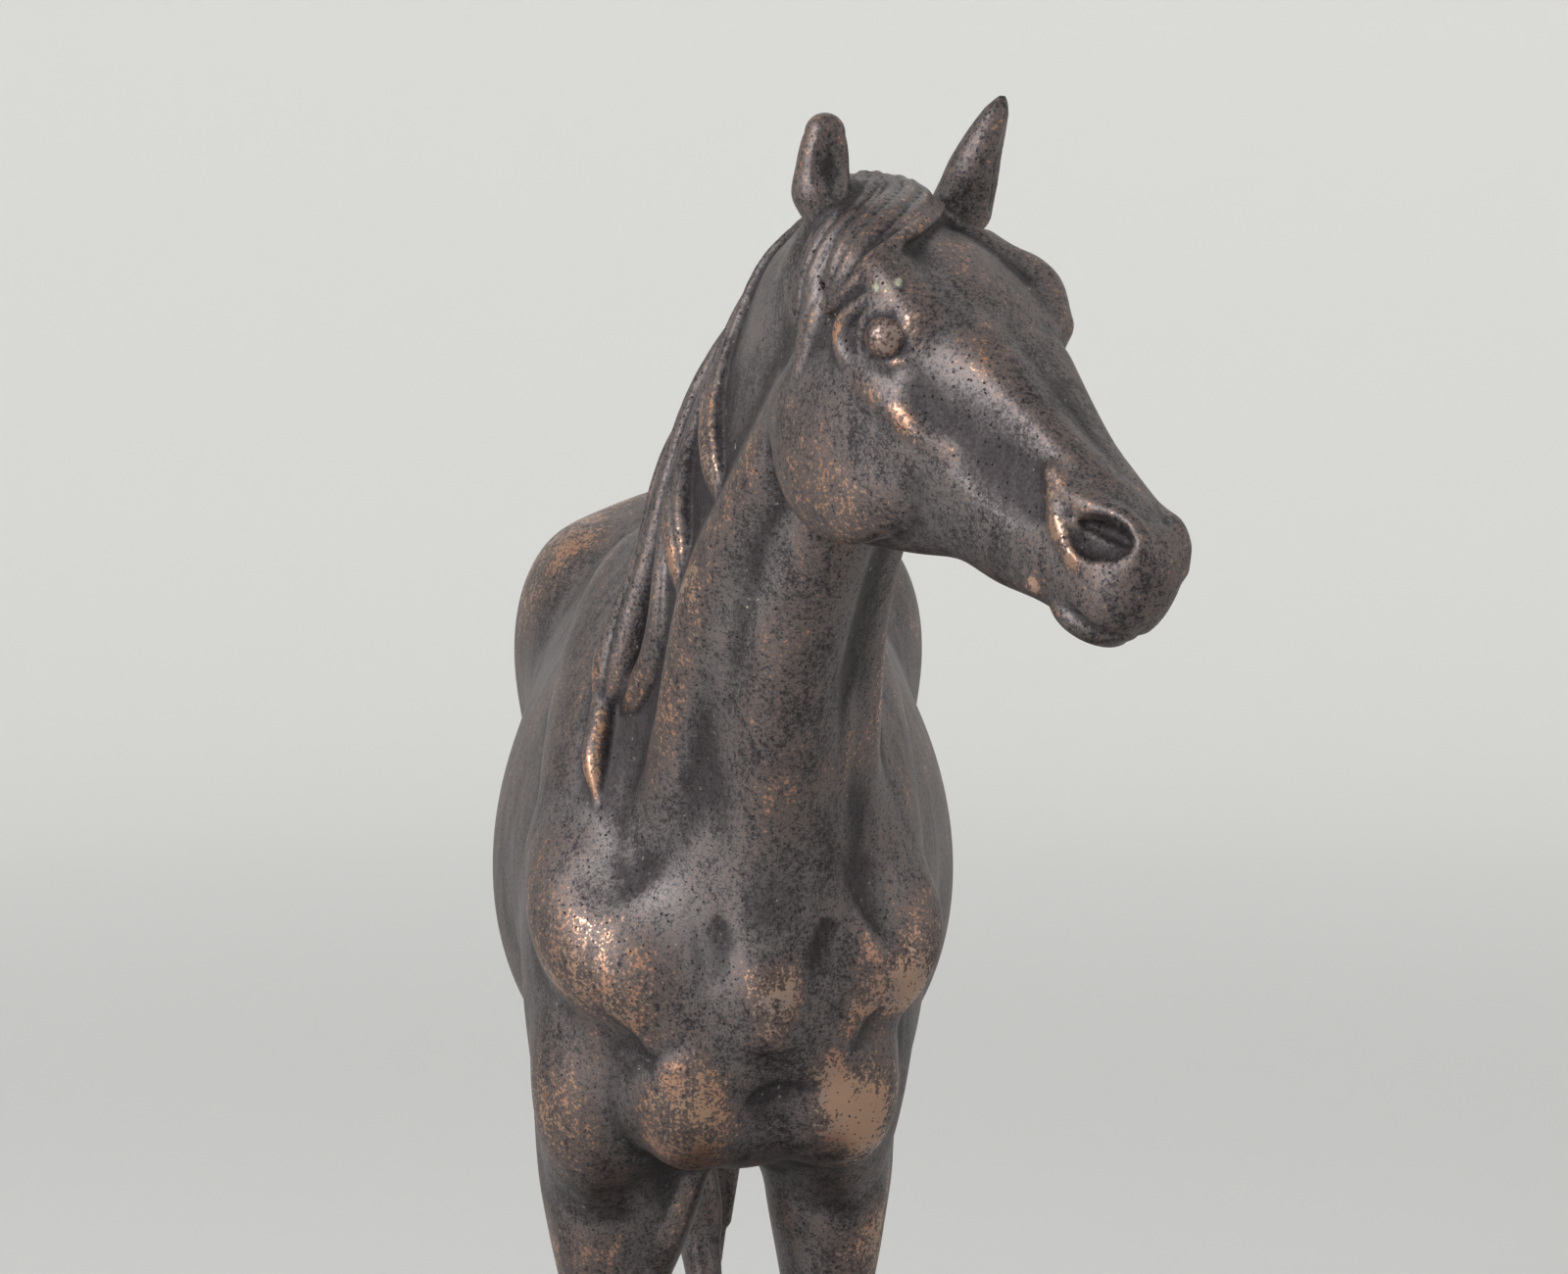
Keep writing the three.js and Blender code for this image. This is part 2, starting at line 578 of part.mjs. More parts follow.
function ears() {
  const shapes = [
    {
      root: [-1.5, -9.6, -0.4],
      tip: [-4, -10.8, 6],
      open: [1, -0.3, 0.25],
      wide: [3.3, 3.3, 3.1, 2.8, 2.5],
    },
    {
      root: [-1.2, 12.8, 1.4],
      tip: [-3, 12.4, 16.2],
      open: [0.8, 0.6, 0.2],
      wide: [3.6, 3.6, 2.7, 1.6, 0.4],
    },
  ];
  return shapes.flatMap(({ root, tip, open, wide }) => {
    const a = HEAD.on(...root);
    const b = HEAD.on(...tip);
    const mouth = HEAD.way(...open).normalize();
    const at = (share, shift) => a.clone().lerp(b, share).addScaledVector(mouth, shift);
    const stem = [[HEAD.on(1, root[1] * 0.7, -4), 3.2], [a, wide[0]]];
    const body = [0, 0.3, 0.62, 0.86, 1].map((share, i) => [at(share, 0), wide[i]]);
    const cup = [[at(0.1, 3.6), 0.8], [at(0.4, 3.6), 1.9], [at(0.75, 3.5), 1.7], [at(1.15, 3.7), 1.2]];
    return [[rope(stem), 1.2], [rope(body), 1.2], [rope(cup), 1.4, 'cut']];
  });
}

// Hair: a forelock, the mane's locks on the right of the neck, and the tail

// Locks of the forelock: how flat each is and its knots, [down, left, up, radius] on the head,
// from the poll to the tip
const FORELOCK = [
  {
    flat: 0.42,
    knots: [
      [-4, -1.4, 1, 3.2],
      [-0.4, -5.2, 0.2, 3.6],
      [3.2, -8.8, -1.8, 3.8],
      [4.6, -10.8, -6, 3.4],
      [5.8, -11.4, -10.6, 2.8],
      [7.4, -11.7, -14, 1],
    ],
  },
  {
    flat: 0.6,
    knots: [
      [6.6, -10.4, -5, 1.6],
      [9.2, -11.7, -10, 2.2],
      [10.2, -12, -14.4, 1.6],
      [11, -12, -19, 0.5],
    ],
  },
  {
    flat: 0.42,
    knots: [
      [-3, 3, 1.8, 3],
      [3, -0.4, 2.8, 3.8],
      [9.8, -7.6, 2.2, 4.2],
      [12.6, -12.2, -1.6, 4],
      [12.9, -13.2, -5.6, 3.2],
      [12.2, -13.2, -9, 1.2],
    ],
  },
  {
    flat: 0.8,
    knots: [
      [4.6, 3.6, 3.2, 0.8],
      [11, -3.4, 3.7, 0.9],
      [15.8, -11.4, 1.6, 0.9],
      [15.8, -14, -3.6, 0.8],
      [13, -13.6, -9, 0.5],
    ],
  },
  {
    flat: 0.6,
    knots: [
      [-3, 4.6, 1, 1.6],
      [5, 6.8, 1.4, 1.9],
      [11, 8.6, 1.8, 1.4],
      [15.6, 9.6, 1.6, 0.5],
    ],
  },
];

function forelock() {
  const hub = HEAD.on(10, 0, -16);
  const pad = muscle(HEAD.on(-6, 0.3, -0.4), HEAD.on(6.5, 2.3, 1), 6, 2.8, HEAD.U);
  const locks = FORELOCK.map(({ flat, knots }) => {
    const placed = knots.map(([down, left, up, radius]) => {
      const point = HEAD.on(down, left, up);
      return [point, radius, point.clone().sub(hub).normalize()];
    });
    return [rope(placed, flat), 0.8];
  });
  return [[pad, 2], ...locks];
}

// Locks of the mane on the right of the neck, from the crest to the tip: how flat each is and
// its knots, [share of the neck's length, angle round the neck from its crest, radius, lift]
const MANE_LOCKS = [
  {
    flat: 0.6,
    knots: [
      [0.33, 0, 3, 0.5],
      [0.18, -35, 3.6, 0.5],
      [0.04, -62, 3, 0.5],
      [-0.08, -80, 0.7, 0.5],
    ],
  },
  {
    flat: 0.6,
    knots: [
      [0.55, 0, 3, 0.5],
      [0.38, -42, 3.6, 0],
      [0.2, -66, 3.6, 0.5],
      [0.06, -78, 3, 0.5],
      [-0.06, -86, 0.7, 0.5],
    ],
  },
  {
    flat: 0.9,
    knots: [
      [0.78, -2, 3, 0.5],
      [0.62, -42, 2.6, -0.6],
      [0.48, -68, 2.6, -0.6],
      [0.34, -80, 3.2, 0.2],
      [0.2, -86, 4.6, 1.1],
      [0.1, -90, 4.6, 1.4],
      [0.02, -94, 1.6, 1.6],
    ],
  },
  {
    flat: 0.7,
    knots: [
      [0.5, -84, 1.6, 0],
      [0.42, -98, 2.2, 0.1],
      [0.34, -104, 2.6, 0.2],
      [0.24, -104, 2.6, 0.4],
      [0.14, -101, 2.2, 0.6],
      [0.06, -98, 0.8, 0.8],
    ],
  },
  {
    flat: 0.6,
    knots: [
      [0.92, -4, 2.6, 0.5],
      [0.8, -40, 2.6, -0.6],
      [0.66, -72, 2.8, -0.4],
      [0.58, -92, 3.6, 0.2],
      [0.53, -108, 3.2, 0.4],
      [0.48, -123, 0.6, 0.4],
    ],
  },
  {
    flat: 0.6,
    knots: [
      [1.06, -4, 2.2, 0.5],
      [0.98, -36, 2.4, -0.6],
      [0.86, -60, 2.6, -0.4],
      [0.77, -82, 3.2, 0.1],
      [0.73, -102, 2.8, 0.3],
      [0.7, -123, 0.6, 0.3],
    ],
  },
];

// The tip of the longest lock, which turns inward over the shoulder
const HOOK = [
  [place(78.4, -15.6, 177), 1.6],
  [place(82.4, -16.8, 170), 1.9],
  [place(85, -17.8, 164), 1.8],
  [place(86.6, -17.4, 159), 0.5],
];
const CREST = [
  [1.08, 0, 2.2, -0.6],
  [0.8, 0, 2.6, -0.6],
  [0.4, 0, 2.8, -0.6],
  [0, 0, 2.4, -0.6],
  [-0.3, 0, 1.4, -0.6],
];

function mane(column) {
  const skin = ([share, angle, radius, lift]) => column.skin(share * NECK_LONG, angle, lift, radius);
  const locks = MANE_LOCKS.map(({ flat, knots }) => [rope(knots.map(skin), flat), 0.6]);
  return [[rope(CREST.map(skin)), 3], ...locks, [rope(HOOK), 0.8]];
}

function tail() {
  const strand = (shift, radius, end) => rope([
    [place(-88, 0, 186), 4.5 * radius],
    [place(-99, shift * 0.4, 184), 5 * radius],
    [place(-107.5, shift * 0.8, 166), 7 * radius],
    [place(-110, shift, 140), 8.4 * radius],
    [place(-109.5, shift, 110), 7.4 * radius],
    [place(-108, shift * 0.7, 80), 5 * radius],
    [place(-107, shift * 0.4, end), 1],
  ]);
  return [[strand(0, 1, 50), 3], [strand(4.5, 0.62, 58), 1.2], [strand(-4.5, 0.62, 64), 1.2]];
}

// The whole horse as one field, flat under the hooves

function horseForm() {
  const { steps: neckSteps, column } = neck();
  const body = melt([
    ...trunk(),
    ...STANCE.flatMap(leg),
    ...chest(),
    ...neckSteps,
    ...head(),
    ...ears(),
    ...mane(column),
    ...forelock(),
    ...tail(),
  ]);
  return (x, y, z) => Math.max(body(x, y, z), -z);
}

// Samples the form on a grid, with the far blocks read at their middle only

function sampleForm(form, low, high, step) {
  const counts = [0, 1, 2].map((i) => Math.ceil((high.getComponent(i) - low.getComponent(i)) / step) + 1);
  const [nx, ny, nz] = counts;
  const values = new Float32Array(nx * ny * nz);
  const block = 6;
  const radius = (block * step * Math.sqrt(3)) / 2;
  for (let k = 0; k < nz; k += block) {
    for (let j = 0; j < ny; j += block) {
      for (let i = 0; i < nx; i += block) {
        const middle = [i, j, k].map((n, a) => low.getComponent(a) + (n + block / 2) * step);
        const d = form(...middle);
        const near = Math.abs(d) < radius * 2;
        for (let c = k; c < Math.min(k + block, nz); c++) {
          for (let b = j; b < Math.min(j + block, ny); b++) {
            for (let a = i; a < Math.min(i + block, nx); a++) {
              const at = a + nx * (b + ny * c);
              values[at] = near ? form(low.x + a * step, low.y + b * step, low.z + c * step) : d;
            }
          }
        }
      }
    }
  }
  return { counts, values };
}

// Closes what would make a skin that touches itself: cells that meet along an edge only,
// and pockets sealed inside
function closeSmallGaps({ counts, values }, step) {
  const [nx, ny, nz] = counts;
  const strides = [1, nx, nx * ny];
  const filled = -0.15 * step;
  let open = true;
  while (open) {
    open = false;
    for (let k = 0; k < nz - 1; k++) {
      for (let j = 0; j < ny - 1; j++) {
        for (let i = 0; i < nx - 1; i++) {
          const n = i + nx * (j + ny * k);
          for (let axis = 0; axis < 3; axis++) {
            const p = n + strides[axis], q = n + strides[(axis + 1) % 3], r = p + q - n;
            const inside = values[n] < 0;
            if (inside !== values[r] < 0 || inside === values[p] < 0 || inside === values[q] < 0) continue;
            const [a, b] = inside ? [p, q] : [n, r];
            values[values[a] < values[b] ? a : b] = filled;
            open = true;
          }
        }
      }
    }
  }
  const reached = new Uint8Array(values.length);
  const queue = [values.length - 1];
  reached[values.length - 1] = 1;
  while (queue.length) {
    const n = queue.pop();
    const at = [n % nx, Math.floor(n / nx) % ny, Math.floor(n / (nx * ny))];
    for (let axis = 0; axis < 3; axis++) {
      for (const side of SIDES) {
        const m = n + side * strides[axis];
        const to = at[axis] + side;
        if (to < 0 || to >= counts[axis] || reached[m] || values[m] < 0) continue;
        reached[m] = 1;
        queue.push(m);
      }
    }
  }
  for (let n = 0; n < values.length; n++) {
    if (values[n] >= 0 && !reached[n]) values[n] = filled;
  }
}

// Leaves out the folds that thinning can make: two triangles back to back on the same corners
function withoutFolds(indices) {
  const kept = new Map();
  for (let i = 0; i < indices.length; i += 3) {
    const corners = [...indices.slice(i, i + 3)];
    const key = [...corners].sort((p, q) => p - q).join();
    if (kept.has(key)) kept.delete(key);
    else kept.set(key, corners);
  }
  return new Uint32Array([...kept.values()].flat());
}

async function horseGeometry() {
  const form = horseForm();
  // The grid's floor lies half a step under the hooves, so that their soles come out flat.
  const low = new THREE.Vector3(-46, -178, -1.5 * GRID_STEP);
  const high = new THREE.Vector3(60, 124, 262);
  const grid = sampleForm(form, low, high, GRID_STEP);
  closeSmallGaps(grid, GRID_STEP);
  const { counts, values } = grid;
  const [nx, ny] = counts;
  const read = (i, j, k) => values[i + nx * (j + ny * k)];
  const skin = surfaceNet(counts, read);
  const positions = new Float32Array(skin.positions.length * 3);
  skin.positions.forEach((p, i) => {
    const z = low.z + p[2] * GRID_STEP;
    positions.set([low.x + p[0] * GRID_STEP, low.y + p[1] * GRID_STEP, z < GRID_STEP / 2 ? 0 : z], i * 3);
  });
  await MeshoptSimplifier.ready;
  const [indices] = MeshoptSimplifier.simplify(
    new Uint32Array(skin.cells.flat()), positions, 3, HORSE_TRIANGLES * 3, 1,
  );
  const scale = WITHERS_HEIGHT / PATTERN_HEIGHT;
  const geometry = new THREE.BufferGeometry();
  geometry.setAttribute('position', new THREE.BufferAttribute(positions, 3));
  geometry.setIndex(new THREE.BufferAttribute(withoutFolds(indices), 1));
  geometry.scale(scale, scale, scale);
  geometry.computeVertexNormals();
  return geometry;
}

// Plinth: a low slab with round corners and a small bevelled edge

function plinthGeometry() {
  const x = PLINTH_WIDTH / 2 - PLINTH_EDGE;
  const y = PLINTH_LENGTH / 2 - PLINTH_EDGE;
  const r = PLINTH_CORNER - PLINTH_EDGE;
  const outline = new THREE.Shape();
  outline.absarc(x - r, y - r, r, 0, Math.PI / 2);
  outline.absarc(-x + r, y - r, r, Math.PI / 2, Math.PI);
  outline.absarc(-x + r, -y + r, r, Math.PI, 1.5 * Math.PI);
  outline.absarc(x - r, -y + r, r, 1.5 * Math.PI, 2 * Math.PI);
  const geometry = new THREE.ExtrudeGeometry(outline, {
    depth: PLINTH_HEIGHT - 2 * PLINTH_EDGE,
    bevelEnabled: true,
    bevelThickness: PLINTH_EDGE,
    bevelSize: PLINTH_EDGE,
    bevelSegments: 2,
    curveSegments: 5,
  });
  geometry.translate(0, 0, PLINTH_EDGE);
  return geometry;
}

const sculpture = new THREE.Group();

const horse = new THREE.Mesh(await horseGeometry(), new THREE.MeshStandardMaterial(BRONZE));
horse.name = 'horse';
horse.position.set(0, 8, PLINTH_HEIGHT);

const plinth = new THREE.Mesh(plinthGeometry(), new THREE.MeshStandardMaterial(BRONZE));
plinth.name = 'plinth';

sculpture.add(horse, plinth);

export default sculpture;
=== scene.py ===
# A standing horse cast in metal, its head turned to its left, on a low plinth.
#
# The horse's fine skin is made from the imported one: it is remeshed finer, and each point is
# moved onto the form that the part was made from, with finer strands, lids and nostril rims.
# That form is in millimetres, in the horse's own space: x to its left, y to its rear, z up
# from the plinth's top. Everything in the scene is in metres, in the part's frame.

import math

import bmesh
import bpy
import numpy as np
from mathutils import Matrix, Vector


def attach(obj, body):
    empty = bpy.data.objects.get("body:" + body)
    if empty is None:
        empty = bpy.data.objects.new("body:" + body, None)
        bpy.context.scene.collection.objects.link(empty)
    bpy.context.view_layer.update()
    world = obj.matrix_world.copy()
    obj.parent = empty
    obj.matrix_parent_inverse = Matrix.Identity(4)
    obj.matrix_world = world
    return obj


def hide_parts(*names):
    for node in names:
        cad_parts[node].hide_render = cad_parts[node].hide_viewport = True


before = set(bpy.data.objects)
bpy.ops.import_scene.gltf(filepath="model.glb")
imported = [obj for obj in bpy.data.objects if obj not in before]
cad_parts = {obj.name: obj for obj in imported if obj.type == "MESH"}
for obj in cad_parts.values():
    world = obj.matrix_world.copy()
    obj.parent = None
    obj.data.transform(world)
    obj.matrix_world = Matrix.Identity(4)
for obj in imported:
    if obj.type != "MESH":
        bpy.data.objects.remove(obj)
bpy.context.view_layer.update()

# Trunk: the ribcage, loin and croup of the horse, the body of one hollow casting in a copper
# alloy. Its muscles were laid on the sculptor's model before the mould was taken, so they run
# into one another without an edge.

# Each shape of the form has a box, low to high, and at(points), which is close to the distance
# to its surface and negative inside. FAR is the distance where no shape is near.
FAR = 1e3


def place(ahead, left, up):
    return np.array([left, -ahead, up], float)


LEFT = place(0, 1, 0)
AHEAD = place(1, 0, 0)
SIDES = (-1, 1)


def unit(v):
    return v / np.linalg.norm(v)


def smooth_table(rows, samples=240):
    """Samples a table of stations as smooth curves: every column against the first one."""
    rows = np.array(rows, float)
    x = rows[:, 0]
    slopes = np.empty_like(rows)
    for i in range(len(rows)):
        a, b = rows[max(i - 1, 0)], rows[min(i + 1, len(rows) - 1)]
        slopes[i] = (b - a) / (b[0] - a[0])
    s = np.linspace(x[0], x[-1], samples)
    i = np.clip(np.searchsorted(x, s, side="right") - 1, 0, len(rows) - 2)
    width = (x[i + 1] - x[i])[:, None]
    t = ((s - x[i]) / width[:, 0])[:, None]
    data = (
        rows[i] * (1 + 2 * t) * (1 - t) ** 2
        + slopes[i] * width * t * (1 - t) ** 2
        + rows[i + 1] * t * t * (3 - 2 * t)
        + slopes[i + 1] * width * t * t * (t - 1)
    )
    return data[:, 1:]


# Deep inside a loft the distance isn't needed, so all within CORE of its middle is one depth
CORE = 0.3
CORE_DEPTH = 0.7


class Loft:
    """A body swept along a straight axis. Each row is [station, side shift, top, bottom,
    half width, egg, twist]: egg widens the top of the section, twist turns it in degrees."""

    def __init__(self, origin, along, across, rows, power=2.0, caps=(5, 5)):
        rows = [list(r) + [0] * (7 - len(r)) for r in rows]
        self.origin = origin
        self.T = unit(along)
        self.S = unit(across - across.dot(self.T) * self.T)
        self.U = np.cross(self.T, self.S)
        self.data = smooth_table(rows)
        self.first, self.last = rows[0][0], rows[-1][0]
        self.power, self.caps = power, caps
        corners = []
        for station, shift, top, bottom, half, egg, _ in rows:
            for up in (top, bottom):
                for side in SIDES:
                    out = shift + side * half * (1 + abs(egg))
                    corners.append(origin + self.T * station + self.S * out + self.U * up)
        self.low = np.min(corners, axis=0) - max(caps)
        self.high = np.max(corners, axis=0) + max(caps)

    def read(self, s):
        """The six columns of the table at the stations s."""
        at = np.clip((s - self.first) / (self.last - self.first), 0, 1) * (len(self.data) - 1)
        i = np.minimum(np.asarray(at, int), len(self.data) - 2)
        t = np.expand_dims(at - i, -1)
        return np.moveaxis(self.data[i] * (1 - t) + self.data[i + 1] * t, -1, 0)

    def at(self, points):
        d = points - self.origin
        s = d @ self.T
        shift, top, bottom, half, egg, twist = self.read(s)
        p = d @ self.S - shift
        q = d @ self.U
        c, n = np.cos(np.radians(twist)), np.sin(np.radians(twist))
        p, q = p * c + q * n, q * c - p * n
        high = (top - bottom) / 2
        v = (q - (top + bottom) / 2) / high
        wide = half * (1 + egg * np.clip(v, -1, 1))
        u = p / wide
        cap = np.where(s < self.first, self.caps[0], self.caps[1])
        e = np.where(s < self.first, self.first - s, np.maximum(s - self.last, 0)) / cap
        k = self.power
        au, av = np.abs(u) + 1e-9, np.abs(v) + 1e-9
        r = (au**k + av**k + e**k) ** (1 / k)
        g = np.sqrt((au ** (k - 1) / wide) ** 2 + (av ** (k - 1) / high) ** 2 + (e ** (k - 1) / cap) ** 2)
        return np.where(r < CORE, -CORE_DEPTH * np.minimum(high, wide), (r - 1) * r ** (k - 1) / g)

    def on(self, s, left, up):
        """A point on or near the loft: how far along, then left and up in its section."""
        shift, *_, twist = self.read(s)
        c, n = math.cos(math.radians(twist)), math.sin(math.radians(twist))
        side = shift + left * c - up * n
        return self.origin + self.T * s + self.S * side + self.U * (left * n + up * c)

    def skin(self, s, angle, lift, radius):
        """A knot for a lock lying on the loft: its angle is from the top, lift is off the skin."""
        _, top, bottom, half, egg, _ = self.read(s)
        c, n = math.cos(math.radians(angle)), math.sin(math.radians(angle))
        high, middle = (top - bottom) / 2, (top + bottom) / 2
        wide = half * (1 + egg * c)
        point = self.on(s, (wide + lift) * n, middle + (high + lift) * c)
        return [point, radius, unit(point - self.on(s, wide * n * 0.3, middle + high * c * 0.6))]


class Muscle:
    """An ellipsoid stretched between two points; facing is what thick is measured along."""

    def __init__(self, start, end, wide, thick, facing=LEFT):
        self.centre = (start + end) / 2
        long = np.linalg.norm(end - start) / 2
        A = unit(end - start)
        N = unit(facing - facing.dot(A) * A)
        self.axes = np.stack([A, np.cross(A, N), N])
        self.sizes = np.array([long, wide, thick])
        half = np.sqrt(((self.axes * self.sizes[:, None]) ** 2).sum(0))
        self.low, self.high = self.centre - half, self.centre + half

    def at(self, points):
        q = (points - self.centre) @ self.axes.T / self.sizes
        r = np.sqrt((q * q).sum(1)) + 1e-9
        return r * (r - 1) / (np.sqrt(((q / self.sizes) ** 2).sum(1)) + 1e-9)


# Stations along the trunk: [ahead, side shift, back, belly, half width, egg]
TRUNK = [
    [-98, 0, 178, 140, 15, 0],
    [-90, 0, 188, 126, 23, 0.05],
    [-75, 0, 195, 116, 30.5, 0.08],
    [-58, 0, 198, 112, 33, 0.1],
    [-40, 0, 196.5, 112, 32.5, 0.05],
    [-22, 0, 193, 109, 33, -0.05],
    [-4, 0, 190.5, 105, 34.5, -0.1],
    [14, 0, 189, 103, 35, -0.12],
    [32, 0, 192, 104, 33, -0.15],
    [48, 0, 198.5, 106, 28.5, -0.2],
    [62, 0, 197, 106.5, 25.5, -0.15],
    [76, 0.5, 185, 107, 24.5, -0.05],
    [88, 1.5, 166, 112, 22, 0],
    [94, 2, 152, 122, 17, 0],
]


def trunk():
    steps = [(Loft(place(0, 0, 0), AHEAD, LEFT, TRUNK), 1)]
    for side in SIDES:
        def p(ahead, left, up):
            return place(ahead, side * left, up)

        steps += [
            (Muscle(p(46, 12, 190), p(84, 18.5, 140), 12, 8.5), 8),
            (Muscle(p(32, 19, 158), p(70, 19.5, 124), 13, 8.5), 8),
            (Muscle(p(-34, 22.8, 186), p(-62, 23.4, 164), 12, 8.5), 10),
            (Muscle(p(-46, 19, 181), p(-98, 12, 152), 18, 14), 12),
            (Muscle(p(-36, 24, 140), p(-70, 22, 116), 16, 11), 12),
        ]
    return steps


# Chest: the points of the shoulders over the two breast muscles, with a knob between them,
# cast in one with the trunk. The furrows between them were drawn with a loop tool in the
# sculptor's model.

# A flat lock's distance is a little short at its edges. Its strands wander as they run along it,
# and the grooves between them are narrow at the bottom and fade towards the lock's edges.
FLAT_SHARE = 0.7
WANDER = 0.12
WANDER_TURNS = 9
CREST_ROUND = 0.6
EDGE_FADE = 0.8


def curve_points(knots, steps):
    """Points of a smooth curve through the knots, evenly many between each pair."""
    ends = [2 * knots[0] - knots[1], *knots, 2 * knots[-1] - knots[-2]]
    out = []
    for n in range(steps + 1):
        at = (len(knots) - 1) * n / steps
        i = min(int(at), len(knots) - 2)
        t = at - i
        p0, p1, p2, p3 = ends[i : i + 4]
        d0, d1, d2 = [math.sqrt(np.linalg.norm(b - a)) for a, b in ((p0, p1), (p1, p2), (p2, p3))]
        t1 = ((p1 - p0) / d0 - (p2 - p0) / (d0 + d1) + (p2 - p1) / d1) * d1
        t2 = ((p2 - p1) / d1 - (p3 - p1) / (d1 + d2) + (p3 - p2) / d2) * d1
        out.append(p1 + t * t1 + t * t * (3 * (p2 - p1) - 2 * t1 - t2) + t**3 * (2 * (p1 - p2) + t1 + t2))
    return np.array(out)


class Rope:
    """A tapering rope through the knots [point, radius]. With a normal as a knot's third entry
    it is a flat lock of hair, with as many strands across it as strands says."""

    def __init__(self, knots, flat=1.0, strands=0, depth=0.16, pieces=4):
        steps = (len(knots) - 1) * pieces
        points = curve_points([k[0] for k in knots], steps)
        radii = smooth_table([[i, k[1]] for i, k in enumerate(knots)], steps + 1)
        normals = points * 0
        if flat < 1:
            normals = smooth_table([[i, *k[2]] for i, k in enumerate(knots)], steps + 1)
        self.track = np.hstack([points, radii, normals])
        self.slopes = np.gradient(self.track, axis=0)
        self.points, self.radii = points, radii[:, 0]
        self.flat, self.strands, self.depth = flat, strands, depth
        self.low = (points - radii).min(0)
        self.high = (points + radii).max(0)
        self.margin = FAR

    def along(self, u):
        """Place, radius and normal at u steps along the curve, and the way it runs there."""
        i = np.minimum(u.astype(int), len(self.points) - 2)
        t = (u - i)[:, None]
        a, b = self.track[i], self.track[i + 1]
        m, n = self.slopes[i], self.slopes[i + 1]
        bend = (2 * t - 3) * t
        out = a + (b - a) * -bend * t + ((t - 2) * t + 1) * t * m + (t - 1) * t * t * n
        a, b, m, n = a[:, :3], b[:, :3], m[:, :3], n[:, :3]
        way = (b - a) * 6 * t * (1 - t) + (1 + t * (3 * t - 4)) * m + t * (3 * t - 2) * n
        return out[:, :3], out[:, 3], out[:, 4:], way

    def at(self, points):
        d = np.full(len(points), self.margin)
        u = np.full(len(points), -1.0)
        low, high = points.min(0) - self.margin, points.max(0) + self.margin
        for i in range(len(self.points) - 1):
            a, c = self.points[i], self.points[i + 1]
            fat = max(self.radii[i], self.radii[i + 1])
            if (np.minimum(a, c) - fat > high).any() or (np.maximum(a, c) + fat < low).any():
                continue
            b = c - a
            p = points - a
            t = np.clip(p @ (b / b.dot(b)), 0, 1)
            q = p - t[:, None] * b
            value = np.sqrt(np.einsum("ij,ij->i", q, q)) - self.radii[i]
            value -= (self.radii[i + 1] - self.radii[i]) * t
            m = value < d
            d[m] = value[m]
            u[m] = i + t[m]
        near = u >= 0
        p, u = points[near], u[near]
        end = len(self.points) - 1
        moves = []
        for _ in range(2):
            at, _, _, way = self.along(u)
            to = np.clip(u + np.einsum("ij,ij->i", p - at, way) / np.einsum("ij,ij->i", way, way), 0, end)
            moves.append(to - u)
            u = to
        # The moves shrink by a steady ratio, so the rest of them is added up in one go
        ratio = np.clip(moves[1] / np.where(np.abs(moves[0]) > 1e-6, moves[0], 1), -0.8, 0.8)
        u = np.clip(u + moves[1] * ratio / (1 - ratio), 0, end)
        at, r, N, way = self.along(u)
        q = p - at
        if self.flat < 1:
            N = N / np.sqrt(np.einsum("ij,ij->i", N, N))[:, None]
            off = np.einsum("ij,ij->i", q, N) * (1 / self.flat - 1)
            stretched = q + off[:, None] * N
            value = (np.sqrt(np.einsum("ij,ij->i", stretched, stretched)) - r) * FLAT_SHARE
        else:
            value = np.sqrt(np.einsum("ij,ij->i", q, q)) - r
        if self.strands:
            W = np.cross(way, N)
            w = np.clip(np.einsum("ij,ij->i", q, W) / np.sqrt(np.einsum("ij,ij->i", W, W)) / r, -1, 1)
            wander = WANDER * np.sin(u / len(self.points) * WANDER_TURNS)
            crest = np.abs(np.sin(math.pi * ((np.arcsin(w) / math.pi + 0.5) * self.strands + wander)))
            value = value + self.depth * r * (1 - crest**CREST_ROUND) * np.sqrt(1 - w * w * EDGE_FADE)
        d[near] = value
        return d


# Furrows beside the knob, under the points of the shoulders, and between and under the two
# muscles: how soft each is and its knots, [ahead, left, up, radius]
FURROWS = [
    (3, [[100.6, -1.6, 144, 0.5], [102.8, -1, 137, 1], [102, 1, 130, 0.8]]),
    (3, [[98.4, 12.4, 144, 0.5], [101.2, 11.6, 137, 1], [101, 9.6, 130, 0.8]]),
    (2.2, [[92.6, -14, 122.6, 0.5], [98, -8.6, 127, 1], [102.4, -2.4, 129.6, 0.8]]),
    (2.2, [[101.6, 8.4, 128.6, 0.7], [98.6, 14, 127.6, 1], [93, 22.4, 126.6, 0.6]]),
    (2, [[101.6, 4.4, 126, 0.6], [98.4, 4.8, 119, 1.3], [92, 4.4, 109, 1.6]]),
    (1.4, [[90, -9, 109.5, 0.5], [92, -3, 110.5, 0.8], [92, 2.4, 113.5, 0.5]]),
    (1.4, [[86, 12, 108.5, 0.5], [86.5, 17, 111.5, 0.7], [82, 22, 117, 0.4]]),
]


